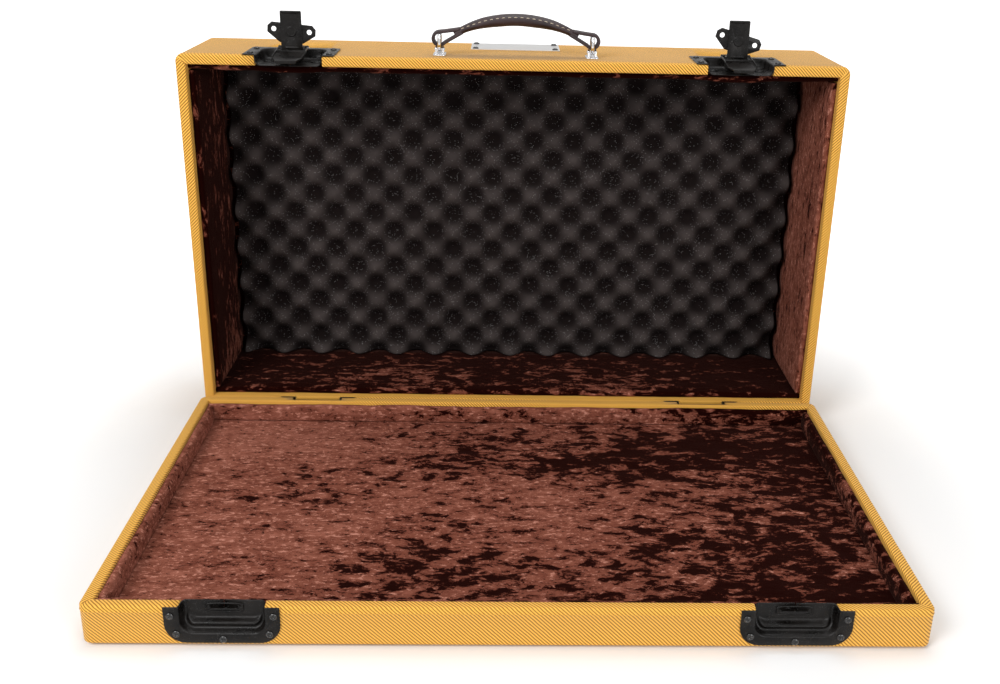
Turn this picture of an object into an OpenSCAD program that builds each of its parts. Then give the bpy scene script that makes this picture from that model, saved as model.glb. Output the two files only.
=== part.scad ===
// Tweed-covered case for guitar effect pedals: a shallow base tray and a deep
// lid that stands open on two recessed stop hinges, with two draw latches, a
// leather carrying handle, plush lining pads and an egg-crate foam sheet.
// +X is to the right, +Y to the back, +Z up. The lid is drawn shut in the
// case's own coordinates and is then turned back about the hinge pins.

/* [Case] */
// Width of the case, left to right
case_w = 800; // [640:1:1000]
// Depth of the case, front to back
case_d = 452; // [380:1:600]
// Height of the base shell, underside to rim
base_h = 42; // [40:0.5:60]
// Height of the lid shell, rim to top
lid_h = 155; // [120:1:220]
// Thickness of the covered side walls
wall_t = 12; // [12:0.5:16]
// Radius of the upright corners
corner_r = 9; // [4:0.5:20]
// Thickness of the base's bottom board
bottom_t = 12; // [6:0.5:14]
// Thickness of the lid's top board
panel_t = 5; // [3:0.5:9]
// Gap left between the rims when shut
seam = 0.5; // [0.3:0.1:1]

/* [Feet] */
// Height of a foot
foot_h = 3; // [2:0.5:8]
// Radius of a foot at the floor
foot_r = 8; // [6:0.5:14]
// Foot centre from the side faces
foot_in_x = 42; // [25:1:90]
// Foot centre from the front and back faces
foot_in_y = 22; // [16:1:60]

/* [Lining] */
// Thickness of the base's floor pad
floor_pad_t = 6; // [3:0.5:9]
// Thickness of the base's side pads
base_pad_t = 9; // [5:0.5:14]
// Drop of the base pads below the rim
base_pad_drop = 3; // [1:0.5:8]
// Thickness of the lid's side pads
lid_pad_t = 8; // [5:0.5:14]
// Drop of the lid pads below the rim
lid_pad_drop = 9; // [3:0.5:20]
// Thickness of the plush under the lid's top board
lid_lining_t = 3; // [1:0.5:6]

/* [Foam] */
// Gap left at each side of the foam sheet
foam_side_gap = 7.5; // [0.5:0.5:40]
// Gap left below the foam sheet
foam_low_gap = 3; // [1:0.5:60]
// Thickness of the foam sheet's backing web
foam_web = 9; // [6:0.5:14]
// Height of the bumps from valley to crest
foam_bump = 18; // [8:0.5:26]
// Bumps in one row across the sheet
foam_across = 14; // [8:1:16]
// Rows of bumps up the sheet, counted without the offset rows between
foam_rows = 8; // [5:1:9]
// Gap between the foam's top edge and the front pad
foam_gap = 1; // [0.5:0.5:6]

/* [Latches] */
// Latch centre from the side faces
latch_in = 132; // [100:1:200]
// Width of the latch and keeper plates
plate_w = 107; // [100:1:120]
// Height of the latch plate on the lid
latch_plate_h = 64; // [60:0.5:80]
// Height of the keeper plate on the base
keeper_plate_h = 39; // [37:0.5:39.5]
// Thickness of the pressed plates
sheet_t = 1.5; // [1:0.1:2]
// Width of the pressed dish
dish_w = 79; // [60:1:82]
// Height of the latch dish from the rim
latch_dish_h = 54; // [53:0.5:56]
// Height of the keeper dish below the rim
keeper_dish_h = 29; // [26:0.5:31]
// Corner radius of the dishes
dish_r = 12; // [6:0.5:14]
// Wall of the pressed dish
dish_t = 1; // [0.8:0.1:1.5]
// Depth of the shallow lower step of the keeper dish
keeper_step_n = 5.5; // [3:0.5:7]
// Height of the deep upper step of the keeper dish
keeper_deep_h = 19.5; // [19:0.5:21]
// Width of the keeper's hook tab
tab_w = 25; // [18:0.5:32]
// Thickness of the hook tab
tab_t = 1.5; // [1:0.1:2]
// Underside of the hook tab below the rim
tab_drop = 8.5; // [7:0.1:9.5]
// Reach of the hook tab from the dish floor
tab_reach = 3.8; // [2.5:0.1:4.5]

/* [Latch levers] */
// Lever pivot above the lid's rim
pivot_c = 40; // [36:0.5:41]
// Lever pivot below the lid's face
pivot_n = 4.5; // [4:0.1:5]
// Link pin's distance from the lever pivot
throw_r = 8.5; // [8:0.1:9]
// Link pin's angle past dead centre with the lever shut
over_centre = 12; // [6:1:15]
// Lever width
lever_w = 25; // [22:0.5:26]
// Lever length beyond its pivot
lever_len = 53; // [46:0.5:62]
// Lever length behind its pivot
lever_heel = 5; // [4:0.1:5.5]
// Height of the lever plate over its pivot
lever_lift = 8.1; // [7.9:0.1:9]
// Thickness of the lever plate
lever_t = 1.6; // [1.2:0.1:2]
// Thickness of the lever's cheeks
cheek_t = 2; // [1.5:0.1:2.5]
// Radius of the latch pins
latch_pin_r = 1.5; // [1.2:0.1:1.8]
// Running clearance round every pin
pin_gap = 0.05; // [0.02:0.01:0.08]
// Half width of the pivot block
block_half = 8; // [5:0.5:8.5]
// Width of the link
link_w = 36; // [34:0.5:42]
// Thickness of the link
link_t = 1.8; // [1.4:0.1:2]
// Width of the link's claw
claw_w = 24; // [16:0.5:26]
// Depth of the claw below the link
claw_n = 3; // [2.4:0.1:3.2]
// Depth of the link's tip below the face, lever open
link_tip_open = 3.8; // [3.6:0.1:4]
// Lock plate's rivet beyond the lever pivot
rivet_s = 29; // [28:0.5:32]
// Lock plate's width across the ears
lock_w = 57; // [52:0.5:62]
// Padlock hole radius
lock_hole_r = 3; // [2:0.1:4]
// Padlock holes from the rivet, each way
lock_hole_x = 21; // [19:0.5:22]
// Left lock plate's tilt as it stands, anticlockwise
left_tilt = -5; // [-20:1:20]
// Right lock plate's tilt as it stands, anticlockwise
right_tilt = -16; // [-20:1:20]

/* [Hinges] */
// Hinge centre from the side faces
hinge_from_side = 150; // [90:1:220]
// Hinge pin inside the base's back face
hinge_in = 2; // [1.5:0.1:3]
// Hinge pin below the base's rim
hinge_drop = 16; // [14:0.5:18]
// Width of the hinge knuckle
knuckle_w = 56; // [40:1:70]
// Radius of the hinge pin
hinge_pin_r = 2; // [1.5:0.1:2.5]
// Thickness of the hinge leaf
leaf_t = 2; // [1.5:0.1:2.5]
// Width of the leaf on the lid
leaf_w = 84; // [76:1:100]
// Height of the leaf on the lid
leaf_h = 40; // [30:1:60]
// Thickness of the pocket's side walls, which hold the pin
ear_t = 3; // [2:0.1:4]
// Width of the hinge plate on the base
hinge_plate_w = 96; // [92:1:120]
// Height of the hinge plate on the base
hinge_plate_h = 36; // [34:0.5:38]

/* [Handle] */
// Distance between the handle's end loops
handle_span = 184; // [140:1:260]
// Handle's middle above the lid's rim
handle_c = 38; // [34:0.5:60]
// Top of the handle over the lid's face
handle_rise = 50; // [46:0.5:60]
// Radius of the handle's bow
bow_r = 150; // [130:1:220]
// Width of the grip
grip_w = 25; // [20:0.5:32]
// Thickness of the grip
grip_t = 11; // [9:0.5:14]
// Width of the leather loops
loop_w = 14; // [12:0.5:16]
// Outer radius of the leather loops
loop_r = 9; // [8:0.5:10]
// Thickness of the leather in the loops
leather_t = 3.5; // [2.5:0.5:4]
// Bail pin over the lid's face
bail_n = 7; // [6.5:0.5:8]
// Loop centre over the bail pin
loop_rise = 13.5; // [13.5:0.5:16]
// Radius of the bail wire
bail_r = 2.2; // [1.8:0.1:2.5]
// Bail's half width
bail_half = 10.5; // [10.4:0.1:12]

/* [Nameplate] */
// Width of the bare plate
name_w = 112; // [60:1:140]
// Height of the bare plate
name_h = 56; // [30:1:70]
// Lower edge of the plate above the lid's rim
name_c = 89; // [86:1:92]
// Thickness of the plate
name_t = 1; // [0.6:0.1:2]

/* [Screws] */
// Radius of a screw head
head_r = 3.7; // [3:0.1:4.2]
// Height of a screw head
head_h = 2; // [1.4:0.1:2.4]
// Height of the low heads under the handle's bails
low_head_h = 0.8; // [0.5:0.1:1]
// Radius of a screw shank
shank_r = 1.6; // [1.2:0.1:1.8]
// Length of a screw shank under its head
shank_l = 9; // [7:0.5:10]
// Clearance round a shank in its hole
shank_gap = 0.05; // [0.03:0.01:0.1]
// Gap round a pin or rivet that is fast in its hole
seat_gap = 0.01; // [0.01:0.01:0.02]

/* [Hidden] */
$fn = 48;
soft_fn = 32;
eps = 1;                       // how far a cutter runs past the face it cuts
rest_angle = 90;               // the lid stands open at this angle
inner_w = case_w - 2 * wall_t;
inner_d = case_d - 2 * wall_t;
latch_x = case_w / 2 - latch_in;
hinge_x = case_w / 2 - hinge_from_side;
foam_w = inner_w - 2 * (lid_pad_t + foam_side_gap);
foam_l = inner_d - 2 * lid_pad_t - foam_gap - foam_low_gap;
dish_n = wall_t - dish_t;      // depth of the dish floor, so the dish backs on the lining
cut_gap = 0.2;                 // room round a pressed dish in its cut-out
pad_gap = 0.3;                 // room between neighbouring pads
pad_round = 3;                 // rounding of a pad's open edges
foam_seat = 0.3;               // room between the foam's sides and what is round it
plate_corner_r = 20;           // lower corners of the keeper plate
tag_r = 3;                     // small corners of the plates
hinge_y = case_d / 2 - hinge_in;
hinge_z = base_h - hinge_drop;
knuckle_r = hinge_in + leaf_t; // the leaf lies against the back face, tangent to its knuckle
stop_gap = 0.3;                // between the open leaf and the pocket's lower edge
pocket_z = hinge_drop + knuckle_r + stop_gap;
pocket_gap = 0.5;              // room at the knuckle's ends
pocket_half = knuckle_w / 2 + pocket_gap;
pocket_back = 1.5;             // room behind the knuckle
pocket_n = hinge_in + knuckle_r + pocket_back;
pocket_t = 1.2;
bbox_front = -case_d / 2 - sheet_t - head_h;
bbox_back = hinge_y + hinge_drop + lid_h;
y_mid = (bbox_front + bbox_back) / 2;
lid_rim_z = base_h + seam;
top_z = base_h + lid_h;
link_q_shut = [pivot_c + throw_r * cos(over_centre), -pivot_n - throw_r * sin(over_centre)];
link_q_open = [pivot_c + throw_r * sin(over_centre), -pivot_n + throw_r * cos(over_centre)];
claw_t = 1.9;
link_taper = 14;               // height of the link's narrowing foot
flange_t = 1.4;                // raised edges of the link
flange_h = 2.6;
flange_short = 4;              // the side flanges stop short of the cross flange
link_eye_r = 3.2;
claw_gap = 0.3;
link_len = link_q_shut[0] + seam + tab_drop + claw_gap + claw_t;
link_open_angle = asin((link_q_open[1] + link_tip_open) / link_len);
arm_gap = 0.5;                 // room between the lever and each arm of the link
arm_in = lever_w / 2 + arm_gap;
arm_len = 20;
pin_out = 0.5;                 // the link pin stands out of the arms by this
pin_half = link_w / 2 + pin_out;
cheek_r = 4;                   // rounding of the lever's cheeks at the pivot
cheek_tip_r = 3.5;             // and at the link pin
hem_r = 1.2;                   // rolled tip of the lever
hem_in = 1.5;
block_foot = 4;                // half depth of the pivot block on the dish floor
block_top = 3.4;               // and round the pin
lock_t = 1.5;
lock_top = 9;                  // outline of the lock plate from its rivet
lock_chamfer = 4.5;
lock_ear_low = 3;
lock_foot = 14;
lock_foot_half = 13;
lock_hole_up = 1;
lock_gap = 0.2;                // between the lever and its lock plate
lock_play = 0.1;               // between the lock plate and the rivet's head
lock_lift = lever_lift - lock_gap - lock_t;
rivet_r = 3;
rivet_head_t = 0.8;
rivet_head_out = 1.5;
loop_n = bail_n + loop_rise;
bar_gap = 0.05;                // between the bail's bar and the leather round it
bar_n = loop_n + loop_r - leather_t - bail_r - bar_gap;
keeper_roll_r = 1.2;           // rolled edge of the keeper's step
keeper_side_in = 6;            // keeper screws: beside the dish, at the lower corners, below the dish
keeper_side_drop = 9.5;
keeper_corner_in = 10.5;
keeper_corner_up = 10;
keeper_low_up = 4.5;
keeper_screw_at = [
  for (x = [-1, 1]) [x * (plate_w / 2 - keeper_side_in), -keeper_side_drop],
  for (x = [-1, 1]) [x * (plate_w / 2 - keeper_corner_in), -keeper_plate_h + keeper_corner_up],
  [0, -keeper_plate_h + keeper_low_up]];
latch_screw_in = 7;            // latch screws from the plate's ends and edges
latch_screw_up = 13;
latch_screw_at = [for (x = [-1, 1], y = [latch_screw_up, latch_plate_h - latch_screw_up])
  [x * (plate_w / 2 - latch_screw_in), y]];
hinge_screw_x = (pocket_half + ear_t + hinge_plate_w / 2) / 2;
hinge_screw_drop = 9;
hinge_screw_up = 7;
hinge_screw_at = [for (x = [-1, 1], z = [-hinge_screw_drop, -hinge_plate_h + hinge_screw_up]) [x * hinge_screw_x, z]];
leaf_screw_in = 13.5;
leaf_screw_up = 10;
leaf_screw_at = [for (x = [-1, 1], z = [leaf_screw_up, leaf_h - leaf_screw_up]) [x * (leaf_w / 2 - leaf_screw_in), z]];
name_screw_in = 6;
cover = "#c88c2c";
plush = "#4a1f1b";
black = "#1d1d1f";
chrome = "#c9ccd0";

// Where things are drawn: base parts from the base shell's underside, lid parts
// in the shut lid's place, and fittings on a face with x across, y up, z out.
module on_base() translate([0, -y_mid, foot_h]) children();
module on_lid() on_base() translate([0, hinge_y, hinge_z]) rotate([-rest_angle, 0, 0])
  translate([0, -hinge_y, -hinge_z]) children();
module on_keeper(side) on_base() translate([side * latch_x, -case_d / 2, base_h]) rotate([90, 0, 0]) children();
module on_latch(side) on_lid() translate([side * latch_x, -case_d / 2, lid_rim_z]) rotate([90, 0, 0]) children();
module on_lid_face() on_lid() translate([0, -case_d / 2, lid_rim_z]) rotate([90, 0, 0]) children();
module on_back_base(side) on_base() translate([side * hinge_x, case_d / 2, base_h]) rotate([90, 0, 180]) children();
module on_back_lid(side) on_lid() translate([side * hinge_x, case_d / 2, lid_rim_z]) rotate([90, 0, 180]) children();
module on_lever(side) on_latch(side) translate([0, pivot_c, -pivot_n]) rotate([rest_angle, 0, 0]) children();
module on_link(side) on_latch(side) translate([0, link_q_open[0], link_q_open[1]])
  rotate([link_open_angle, 0, 0]) children();

// Plain shapes
module rounded(w, d, r) {
  square([w - 2 * r, d], center = true);
  square([w, d - 2 * r], center = true);
  for (x = [-1, 1], y = [-1, 1]) translate([x * (w / 2 - r), y * (d / 2 - r)]) circle(r);
}
// A plate outline that hangs down from y = 0, with round lower corners
module hanging(w, h, r) {
  translate([-w / 2, -h + r]) square([w, h - r]);
  translate([-w / 2 + r, -h]) square([w - 2 * r, h]);
  for (x = [-1, 1]) translate([x * (w / 2 - r), -h + r]) circle(r);
}
// A bar across x, from -half to half
module across(half, r) rotate([0, 90, 0]) translate([0, 0, -half]) cylinder(h = 2 * half, r = r);
// A strip across x between two distances from the middle, its outline in the y-z plane
module strip(from, to) rotate([90, 0, 90]) translate([0, 0, from]) linear_extrude(to - from) children();
head_edge = 0.35;              // share of a screw head's height that its edge takes
point_l = 2;                   // tapered point of a screw
point_r = 0.6;
hole_deep = 0.5;               // a hole is deeper than its screw by this
// A pan-head screw whose head sits on z = 0
module screw(h) {
  rotate_extrude() polygon(concat([[0, -shank_l], [point_r, -shank_l], [shank_r, -shank_l + point_l],
    [shank_r, 0], [head_r, 0], [head_r, h * head_edge]],
    [for (a = [30:15:90]) [head_r * cos(a), h * (head_edge + (1 - head_edge) * sin(a))]]));
}
module screws_at(places, seat = sheet_t, h = head_h) for (p = places) translate([p[0], p[1], seat]) screw(h);
module holes_at(places, depth = shank_l + hole_deep)
  for (p = places) translate([p[0], p[1], -depth]) cylinder(h = depth + sheet_t + eps, r = shank_r + shank_gap);

// Base shell
module base_frame() color(cover) difference() {
  on_base() difference() {
    linear_extrude(base_h) rounded(case_w, case_d, corner_r);
    translate([-inner_w / 2, -inner_d / 2, -eps]) cube([inner_w, inner_d, base_h + 2 * eps]);
  }
  for (s = [-1, 1]) {
    on_keeper(s) translate([0, 0, -wall_t - eps]) linear_extrude(wall_t + 2 * eps)
      translate([0, eps]) hanging(dish_w + 2 * cut_gap, keeper_dish_h + cut_gap + eps, dish_r);
    on_keeper(s) holes_at(keeper_screw_at);
    on_back_base(s) translate([-pocket_half - ear_t, -pocket_z - pocket_t, -pocket_n - pocket_t])
      cube([2 * (pocket_half + ear_t), pocket_z + pocket_t + eps, pocket_n + pocket_t + eps]);
    on_back_base(s) holes_at(hinge_screw_at);
  }
}
module base_bottom() color("#b08a58") difference() {
  on_base() translate([-inner_w / 2, -inner_d / 2, 0]) cube([inner_w, inner_d, bottom_t]);
  on_base() at_feet() translate([0, 0, -eps]) cylinder(h = shank_l + hole_deep + eps, r = shank_r + shank_gap);
}
module at_feet() for (x = [-1, 1], y = [-1, 1])
  translate([x * (case_w / 2 - foot_in_x), y * (case_d / 2 - foot_in_y), 0]) children();
foot_flare = 1;                // the foot is wider by this where it meets the board
foot_web = foot_h * 0.4;       // rubber under the screw's head
foot_well_gap = 0.4;           // room round the screw's head
module feet() color(black) on_base() at_feet() rotate([180, 0, 0]) rotate_extrude() polygon([
  [shank_r + shank_gap, 0], [foot_r + foot_flare, 0], [foot_r, foot_h], [head_r + foot_well_gap, foot_h],
  [head_r + foot_well_gap, foot_web], [shank_r + shank_gap, foot_web]]);
module foot_screws() color(chrome) on_base() at_feet() translate([0, 0, -foot_web]) rotate([180, 0, 0])
  rotate_extrude() polygon([[0, -shank_l], [shank_r, -shank_l], [shank_r, 0], [head_r, 0],
    [head_r * 0.7, foot_web], [0, foot_web]]);

// Lining pads of the base
module base_floor_pad() color(plush) on_base() translate([-inner_w / 2, -inner_d / 2, bottom_t])
  cube([inner_w, inner_d, floor_pad_t]);
// Outline of a wall pad: against the wall at x = 0, standing on y = 0
module pad_section(t, h) {
  square([t, h - pad_round]);
  square([t - pad_round, h]);
  translate([t - pad_round, h - pad_round]) circle(pad_round, $fn = soft_fn);
}
module base_pad(len) rotate([90, 0, 0]) translate([0, 0, -len / 2]) linear_extrude(len)
  pad_section(base_pad_t, base_h - bottom_t - floor_pad_t - base_pad_drop);
module place_base_pad() on_base() translate([0, 0, bottom_t + floor_pad_t]) children();
base_side_len = inner_d - 2 * base_pad_t - 2 * pad_gap;
module base_pad_front() color(plush) place_base_pad() translate([0, -inner_d / 2, 0]) rotate(90) base_pad(inner_w);
module base_pad_back() color(plush) place_base_pad() translate([0, inner_d / 2, 0]) rotate(-90) base_pad(inner_w);
module base_pad_left() color(plush) place_base_pad() translate([-inner_w / 2, 0, 0]) base_pad(base_side_len);
module base_pad_right() color(plush) place_base_pad() translate([inner_w / 2, 0, 0]) rotate(180) base_pad(base_side_len);

// Keeper: a pressed dish let into the front wall, with the tab that the claw hooks under
module keeper_dish(side) color(black) on_keeper(side) {
  difference() {
    union() {
      linear_extrude(sheet_t) hanging(plate_w, keeper_plate_h, plate_corner_r);
      translate([0, 0, -dish_n - dish_t]) linear_extrude(dish_n + dish_t) hanging(dish_w, keeper_dish_h, dish_r);
    }
    translate([0, eps, -dish_n]) linear_extrude(dish_n + sheet_t + eps)
      hanging(dish_w - 2 * dish_t, keeper_deep_h + eps, dish_r / 2);
    translate([0, eps, -keeper_step_n]) linear_extrude(keeper_step_n + sheet_t + eps)
      hanging(dish_w - 2 * dish_t, keeper_dish_h - dish_t + eps, dish_r - dish_t);
    holes_at(keeper_screw_at);
  }
  translate([0, -keeper_deep_h, -keeper_step_n]) across(dish_w / 2 - dish_t, keeper_roll_r);
  translate([-tab_w / 2, -tab_drop, -dish_n - dish_t / 2]) cube([tab_w, tab_t, tab_reach + dish_t / 2]);
}
module left_keeper_dish() keeper_dish(-1);
module right_keeper_dish() keeper_dish(1);
module keeper_screws() color(black) for (s = [-1, 1]) on_keeper(s) screws_at(keeper_screw_at);

// Hinge pocket in the back wall, whose side walls hold the pin
module hinge_dish(side) color(black) on_back_base(side) difference() {
  union() {
    linear_extrude(sheet_t) hanging(hinge_plate_w, hinge_plate_h, tag_r);
    translate([-pocket_half - ear_t, -pocket_z - pocket_t, -pocket_n - pocket_t])
      cube([2 * (pocket_half + ear_t), pocket_z + pocket_t, pocket_n + pocket_t]);
  }
  translate([-pocket_half, -pocket_z, -pocket_n]) cube([2 * pocket_half, pocket_z + eps, pocket_n + sheet_t + eps]);
  translate([0, -hinge_drop, -hinge_in]) across(pocket_half + ear_t + eps, hinge_pin_r + seat_gap);
  holes_at(hinge_screw_at);
}
module left_hinge_dish() hinge_dish(-1);
module right_hinge_dish() hinge_dish(1);
module hinge_pins() color(chrome) for (s = [-1, 1])
  on_back_base(s) translate([0, -hinge_drop, -hinge_in]) across(pocket_half + ear_t, hinge_pin_r);
module hinge_dish_screws() color(black) for (s = [-1, 1]) on_back_base(s) screws_at(hinge_screw_at);

// Lid shell
module lid_frame() color(cover) difference() {
  on_lid() translate([0, 0, lid_rim_z]) difference() {
    linear_extrude(lid_h - seam) rounded(case_w, case_d, corner_r);
    translate([-inner_w / 2, -inner_d / 2, -eps]) cube([inner_w, inner_d, lid_h + 2 * eps]);
  }
  for (s = [-1, 1]) {
    on_latch(s) translate([0, 0, -wall_t - eps]) linear_extrude(wall_t + 2 * eps) rotate(180)
      translate([0, eps]) hanging(dish_w + 2 * cut_gap, latch_dish_h + cut_gap + eps, dish_r);
    on_latch(s) holes_at(latch_screw_at);
    on_back_lid(s) holes_at(leaf_screw_at);
    on_lid_face() translate([s * handle_span / 2, handle_c]) holes_at(bracket_screw_at);
  }
  on_lid_face() holes_at(name_screws());
}
module lid_panel() color("#b08a58") on_lid()
  translate([-inner_w / 2, -inner_d / 2, top_z - panel_t]) cube([inner_w, inner_d, panel_t]);
module lid_lining() color(plush) on_lid()
  translate([-inner_w / 2, -inner_d / 2, top_z - panel_t - lid_lining_t]) cube([inner_w, inner_d, lid_lining_t]);
lid_pad_h = lid_h - seam - panel_t - lid_lining_t - lid_pad_drop;
lid_side_len = inner_d - 2 * lid_pad_t - 2 * pad_gap;
module lid_pad(len) rotate([90, 0, 0]) translate([0, 0, -len / 2]) linear_extrude(len) pad_section(lid_pad_t, lid_pad_h);
module place_lid_pad() on_lid() translate([0, 0, top_z - panel_t - lid_lining_t]) mirror([0, 0, 1]) children();
module lid_pad_front() color(plush) place_lid_pad() translate([0, -inner_d / 2, 0]) rotate(90) lid_pad(inner_w);
module lid_pad_rear() color(plush) place_lid_pad() translate([0, inner_d / 2, 0]) rotate(-90) lid_pad(inner_w);
module lid_pad_left() color(plush) place_lid_pad() translate([-inner_w / 2, 0, 0]) lid_pad(lid_side_len);
module lid_pad_right() color(plush) place_lid_pad() translate([inner_w / 2, 0, 0]) rotate(180) lid_pad(lid_side_len);

// Egg-crate foam: crests and valleys from the product of two cosines, sampled
// four times a wave, so that offset rows of bumps fall between each other
function crest(i, j) = foam_web + foam_bump * (1 + cos(90 * i) * cos(90 * j)) / 2;
module lid_foam() color("#2b2b2e") on_lid()
  translate([-foam_w / 2, -inner_d / 2 + lid_pad_t + foam_gap, top_z - panel_t - lid_lining_t - foam_seat])
  mirror([0, 0, 1]) egg_crate();
module egg_crate() {
  nx = 4 * foam_across;
  ny = 4 * foam_rows;
  row = nx + 1;
  // the rim of the sheet, walked round anticlockwise as grid places
  ring = concat([for (i = [0:nx - 1]) [i, 0]], [for (j = [0:ny - 1]) [nx, j]],
    [for (i = [nx:-1:1]) [i, ny]], [for (j = [ny:-1:1]) [0, j]]);
  n = len(ring);
  low = row * (ny + 1);
  function up(i, j) = j * row + i;
  points = concat(
    [for (j = [0:ny], i = [0:nx]) [i * foam_w / nx, j * foam_l / ny, crest(i, j)]],
    [for (p = ring) [p[0] * foam_w / nx, p[1] * foam_l / ny, 0]],
    [[foam_w / 2, foam_l / 2, 0]]);
  // each cell is split along the diagonal that leaves its crest or valley
  faces = concat(
    [for (j = [0:ny - 1], i = [0:nx - 1]) (i + j) % 2 == 0 ?
      [up(i, j), up(i, j + 1), up(i + 1, j + 1)] : [up(i, j), up(i, j + 1), up(i + 1, j)]],
    [for (j = [0:ny - 1], i = [0:nx - 1]) (i + j) % 2 == 0 ?
      [up(i, j), up(i + 1, j + 1), up(i + 1, j)] : [up(i + 1, j), up(i, j + 1), up(i + 1, j + 1)]],
    [for (k = [0:n - 1]) [up(ring[k][0], ring[k][1]), up(ring[(k + 1) % n][0], ring[(k + 1) % n][1]), low + k]],
    [for (k = [0:n - 1]) [up(ring[(k + 1) % n][0], ring[(k + 1) % n][1]), low + (k + 1) % n, low + k]],
    [for (k = [0:n - 1]) [low + k, low + (k + 1) % n, low + n]]);
  polyhedron(points, faces);
}

// Latch dish: the plate and pan that carry the lever, open at the rim
module latch_dish(side) color(black) on_latch(side) difference() {
  rotate(180) union() {
    linear_extrude(sheet_t) hanging(plate_w, latch_plate_h, tag_r);
    translate([0, 0, -dish_n - dish_t]) linear_extrude(dish_n + dish_t) hanging(dish_w, latch_dish_h, dish_r);
  }
  rotate(180) translate([0, eps, -dish_n]) linear_extrude(dish_n + sheet_t + eps)
    hanging(dish_w - 2 * dish_t, latch_dish_h - dish_t + eps, dish_r - dish_t);
  holes_at(latch_screw_at);
}
module left_latch_dish() latch_dish(-1);
module right_latch_dish() latch_dish(1);
module latch_screws() color(black) for (s = [-1, 1]) on_latch(s) screws_at(latch_screw_at);
// Ringed rivets beside the lever, seated on the dish floor
rivet_in = 11.5;               // from the dish's ends
rivet_below = 10;              // below the lever's pivot
ring_r = 6;
ring_t = 0.6;
ring_w = 1.8;
ring_h = 1.3;
rivet_top_h = 2;
module latch_rivets() color(black) for (s = [-1, 1], x = [-1, 1]) on_latch(s)
  translate([x * (dish_w / 2 - rivet_in), pivot_c - rivet_below, -dish_n]) rotate_extrude() polygon([
    [0, 0], [ring_r, 0], [ring_r, ring_t], [ring_r - ring_w / 2, ring_h], [ring_r - ring_w, ring_t],
    [rivet_r, ring_t], [rivet_r * 0.9, rivet_top_h * 0.8], [rivet_r * 0.55, rivet_top_h], [0, rivet_top_h]]);
// Block on the dish floor that holds the lever's pivot pin
module pivot_block(side) color(black) on_latch(side) translate([0, pivot_c, 0]) difference() {
  union() {
    strip(-block_half, block_half) polygon([[-block_foot, -dish_n], [block_foot, -dish_n],
      [block_top, -pivot_n], [-block_top, -pivot_n]]);
    translate([0, 0, -pivot_n]) across(block_half, block_top);
  }
  translate([0, 0, -pivot_n]) across(block_half + eps, latch_pin_r + pin_gap);
}
module left_pivot_block() pivot_block(-1);
module right_pivot_block() pivot_block(1);

// Lever: plate, hemmed tip and two cheeks that carry the pins
link_s = throw_r * cos(over_centre);
link_w0 = -throw_r * sin(over_centre);
module lever(side) color(black) on_lever(side) difference() {
  union() {
    translate([0, 0, lever_lift]) linear_extrude(lever_t) translate([0, (lever_len - lever_heel) / 2])
      rounded(lever_w, lever_len + lever_heel, tag_r / 2);
    translate([0, lever_len - hem_r, lever_lift + lever_t]) across(lever_w / 2 - hem_in, hem_r);
    for (x = [-lever_w / 2, lever_w / 2 - cheek_t]) strip(x, x + cheek_t) {
      circle(cheek_r);
      translate([link_s, link_w0]) circle(cheek_tip_r);
      polygon([[-cheek_r, 0], [-cheek_r, lever_lift + lever_t / 2], [link_s + cheek_tip_r, lever_lift + lever_t / 2],
        [link_s + cheek_tip_r, link_w0], [link_s, link_w0 - cheek_tip_r], [0, -cheek_r]]);
    }
  }
  across(lever_w, latch_pin_r + seat_gap);
  translate([0, link_s, link_w0]) across(lever_w, latch_pin_r + seat_gap);
  translate([0, rivet_s, lever_lift - eps]) cylinder(h = lever_t + 2 * eps, r = rivet_r + seat_gap);
}
module left_lever() lever(-1);
module right_lever() lever(1);
module pivot_pin(side) color(chrome) on_lever(side) across(lever_w / 2, latch_pin_r);
module left_pivot_pin() pivot_pin(-1);
module right_pivot_pin() pivot_pin(1);
module link_pin(side) color(chrome) on_lever(side) translate([0, link_s, link_w0]) across(pin_half, latch_pin_r);
module left_link_pin() link_pin(-1);
module right_link_pin() link_pin(1);
// Rivet through the lever that the lock plate turns on
module lock_rivet(side) color(black) on_lever(side) translate([0, rivet_s, 0]) {
  translate([0, 0, lock_lift - lock_play]) cylinder(h = lock_play + lock_t + lock_gap + lever_t, r = rivet_r);
  for (z = [lock_lift - lock_play - rivet_head_t, lever_lift + lever_t])
    translate([0, 0, z]) cylinder(h = rivet_head_t, r = rivet_r + rivet_head_out);
}
module left_lock_rivet() lock_rivet(-1);
module right_lock_rivet() lock_rivet(1);
// Lock plate: a cross bar under the lever with an eared hole each side
module lock_plate(side, tilt) color(black) on_lever(side) translate([0, rivet_s, lock_lift]) rotate(tilt)
  linear_extrude(lock_t) difference() {
    h = lock_w / 2;
    polygon([[h - lock_chamfer, lock_top], [h, lock_top - lock_chamfer], [h, -lock_ear_low],
      [lock_foot_half, -lock_foot], [-lock_foot_half, -lock_foot], [-h, -lock_ear_low],
      [-h, lock_top - lock_chamfer], [-h + lock_chamfer, lock_top]]);
    circle(rivet_r + pin_gap);
    for (x = [-1, 1]) translate([x * lock_hole_x, lock_hole_up]) circle(lock_hole_r);
  }
module left_lock_plate() lock_plate(-1, left_tilt);
module right_lock_plate() lock_plate(1, right_tilt);
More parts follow.
